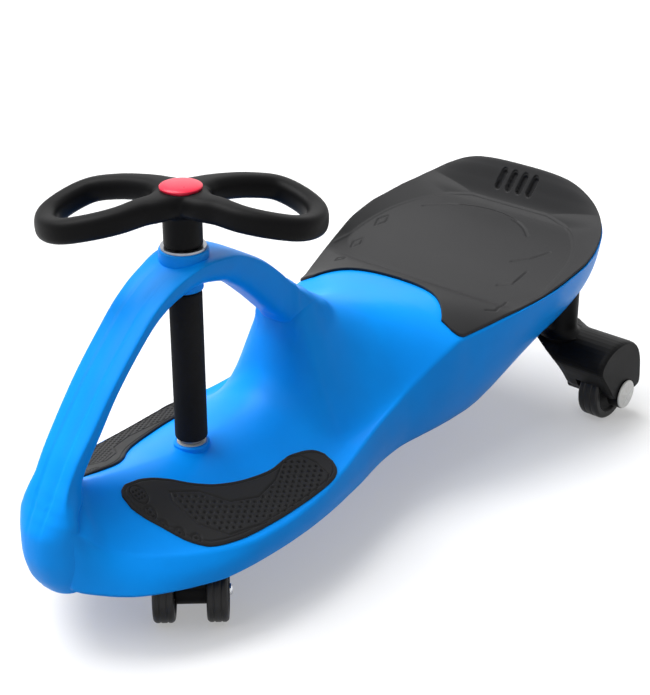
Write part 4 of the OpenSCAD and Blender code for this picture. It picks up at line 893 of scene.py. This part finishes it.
def star_cap(side):
    """Round cap with a star: in polar steps the face rises to the middle from the star's outline."""
    r = np.concatenate([np.linspace(0, STAR_REACH, STAR_RINGS), BRIM_SHARES]) * HUB_CAP_D / 2
    a = np.linspace(0, 2 * np.pi, STAR_STEPS, endpoint=False)[:, None]
    fold = np.abs((a / (2 * np.pi) * STAR_POINTS) % 1 - 0.5) * 2
    edge = HUB_CAP_D * (STAR_INNER + STAR_OUTER * fold ** STAR_BEND)
    rise = CAP_BASE + STAR_RISE * np.clip(1 - r[None] / edge, 0, 1) ** STAR_SLOPE
    rise[:, -len(BRIM_RISES):] = BRIM_RISES
    grid = np.stack([side * (CAP_PLANE + rise), REAR_Y + r * np.sin(a), REAR_D / 2 + r * np.cos(a)], axis=2)
    faces = grid_faces(STAR_STEPS, len(r), ring_n=True)
    return grid, faces if side < 0 else faces[:, ::-1]


make_piece("hub_caps_star", [star_cap(1), star_cap(-1)], "body", white_abs, ["hub_caps"])


# Stage, light and camera

# Half the floor's side in metres, its own glow where it is seen, and the world's light on the object
FLOOR_HALF, PAPER_GLOW, WORLD_LIGHT = 8, 0.34, 0.32
# The photo's height and focal length in pixels, and a sensor width in mm that turns them into a lens
IMAGE_H, FOCAL_PX, SENSOR = 695, 1600, 36
CAMERA_PLACE, CAMERA_YAW, CAMERA_PITCH = (0.949, -1.098, 0.891), math.radians(40.1), math.radians(26.5)


def seen_rays(tree, *kinds):
    """One where a ray is of any of the kinds, and zero elsewhere."""
    path = node(tree, "ShaderNodeLightPath")
    best = node(tree, "ShaderNodeMath", links=[(0, path, kinds[0]), (1, path, kinds[1])], operation="MAXIMUM")
    for kind in kinds[2:]:
        best = node(tree, "ShaderNodeMath", links=[(0, best, "Value"), (1, path, kind)], operation="MAXIMUM")
    return best


floor = bpy.data.meshes.new("floor")
corners = [(-FLOOR_HALF, -FLOOR_HALF, 0), (FLOOR_HALF, -FLOOR_HALF, 0), (FLOOR_HALF, FLOOR_HALF, 0),
           (-FLOOR_HALF, FLOOR_HALF, 0)]
floor.from_pydata(corners, [], [(0, 1, 2, 3)])
floor_obj = bpy.data.objects.new("floor", floor)
bpy.context.scene.collection.objects.link(floor_obj)
paper = bpy.data.materials.new("white_paper_sweep")
paper.use_nodes = True
tree = paper.node_tree
paper_shader = tree.nodes["Principled BSDF"]
paper_shader.inputs["Roughness"].default_value = 1.0
paper_shader.inputs["Specular IOR Level"].default_value = 0.0
paper_shader.inputs["Emission Color"].default_value = linear("#FFFFFF")
# Where it is seen the paper is white and keeps a pale shadow; the light it throws back is dimmer
seen = seen_rays(tree, "Is Camera Ray", "Is Glossy Ray")
tint = node(tree, "ShaderNodeMix", {6: linear("#A8A8A8"), 7: linear("#CECECE")}, [(0, seen, "Value")],
            data_type="RGBA")
tree.links.new(tint.outputs[2], paper_shader.inputs["Base Color"])
glow = node(tree, "ShaderNodeMath", {1: PAPER_GLOW}, [(0, seen, "Value")], operation="MULTIPLY")
tree.links.new(glow.outputs["Value"], paper_shader.inputs["Emission Strength"])
floor.materials.append(paper)

# The world is white where it is seen, and lights the object at a lower level
world = bpy.data.worlds.new("studio")
bpy.context.scene.world = world
world.use_nodes = True
tree = world.node_tree
sky = tree.nodes["Background"]
sky.inputs["Color"].default_value = linear("#FFFFFF")
seen = seen_rays(tree, "Is Camera Ray", "Is Glossy Ray", "Is Transmission Ray")
level = node(tree, "ShaderNodeMath", {1: 1.0 - WORLD_LIGHT, 2: WORLD_LIGHT}, [(0, seen, "Value")],
             operation="MULTIPLY_ADD")
tree.links.new(level.outputs["Value"], sky.inputs["Strength"])


def soft_box(name, place, aim, size, power):
    """A square area lamp at a place in metres, turned to its aim."""
    lamp = bpy.data.lights.new(name, "AREA")
    lamp.shape, lamp.size, lamp.energy = "SQUARE", size, power
    obj = bpy.data.objects.new(name, lamp)
    obj.location = place
    obj.rotation_mode = "QUATERNION"
    obj.rotation_quaternion = (Vector(aim) - Vector(place)).to_track_quat("-Z", "Y")
    bpy.context.scene.collection.objects.link(obj)


def far_light(name, toward, strength, spread):
    """A distant lamp that shines along a direction, with an angle that softens its shadows."""
    lamp = bpy.data.lights.new(name, "SUN")
    lamp.energy, lamp.angle = strength, math.radians(spread)
    obj = bpy.data.objects.new(name, lamp)
    obj.location = (0, 0, 3)
    obj.rotation_mode = "QUATERNION"
    obj.rotation_quaternion = Vector(toward).to_track_quat("-Z", "Y")
    bpy.context.scene.collection.objects.link(obj)


far_light("key", toward=(0.5, 0.05, -1.0), strength=3.0, spread=45)
far_light("fill", toward=(0.3, 0.6, -1.0), strength=1.6, spread=45)
soft_box("back_sheen", place=(-1.5, 1.9, 1.5), aim=(0, 0.1, 0.15), size=1.6, power=6)

camera = bpy.data.cameras.new("camera")
camera.sensor_width = SENSOR
camera.lens = FOCAL_PX / IMAGE_H * SENSOR
camera_obj = bpy.data.objects.new("camera", camera)
bpy.context.scene.collection.objects.link(camera_obj)
camera_obj.location = CAMERA_PLACE
level_part = math.cos(CAMERA_PITCH)
look = Vector((-math.sin(CAMERA_YAW) * level_part, math.cos(CAMERA_YAW) * level_part,
               -math.sin(CAMERA_PITCH)))
camera_obj.rotation_mode = "QUATERNION"
camera_obj.rotation_quaternion = look.to_track_quat("-Z", "Y")
camera.clip_start, camera.clip_end = 0.01, 50
bpy.context.scene.camera = camera_obj
bpy.context.scene.view_settings.view_transform = "Standard"
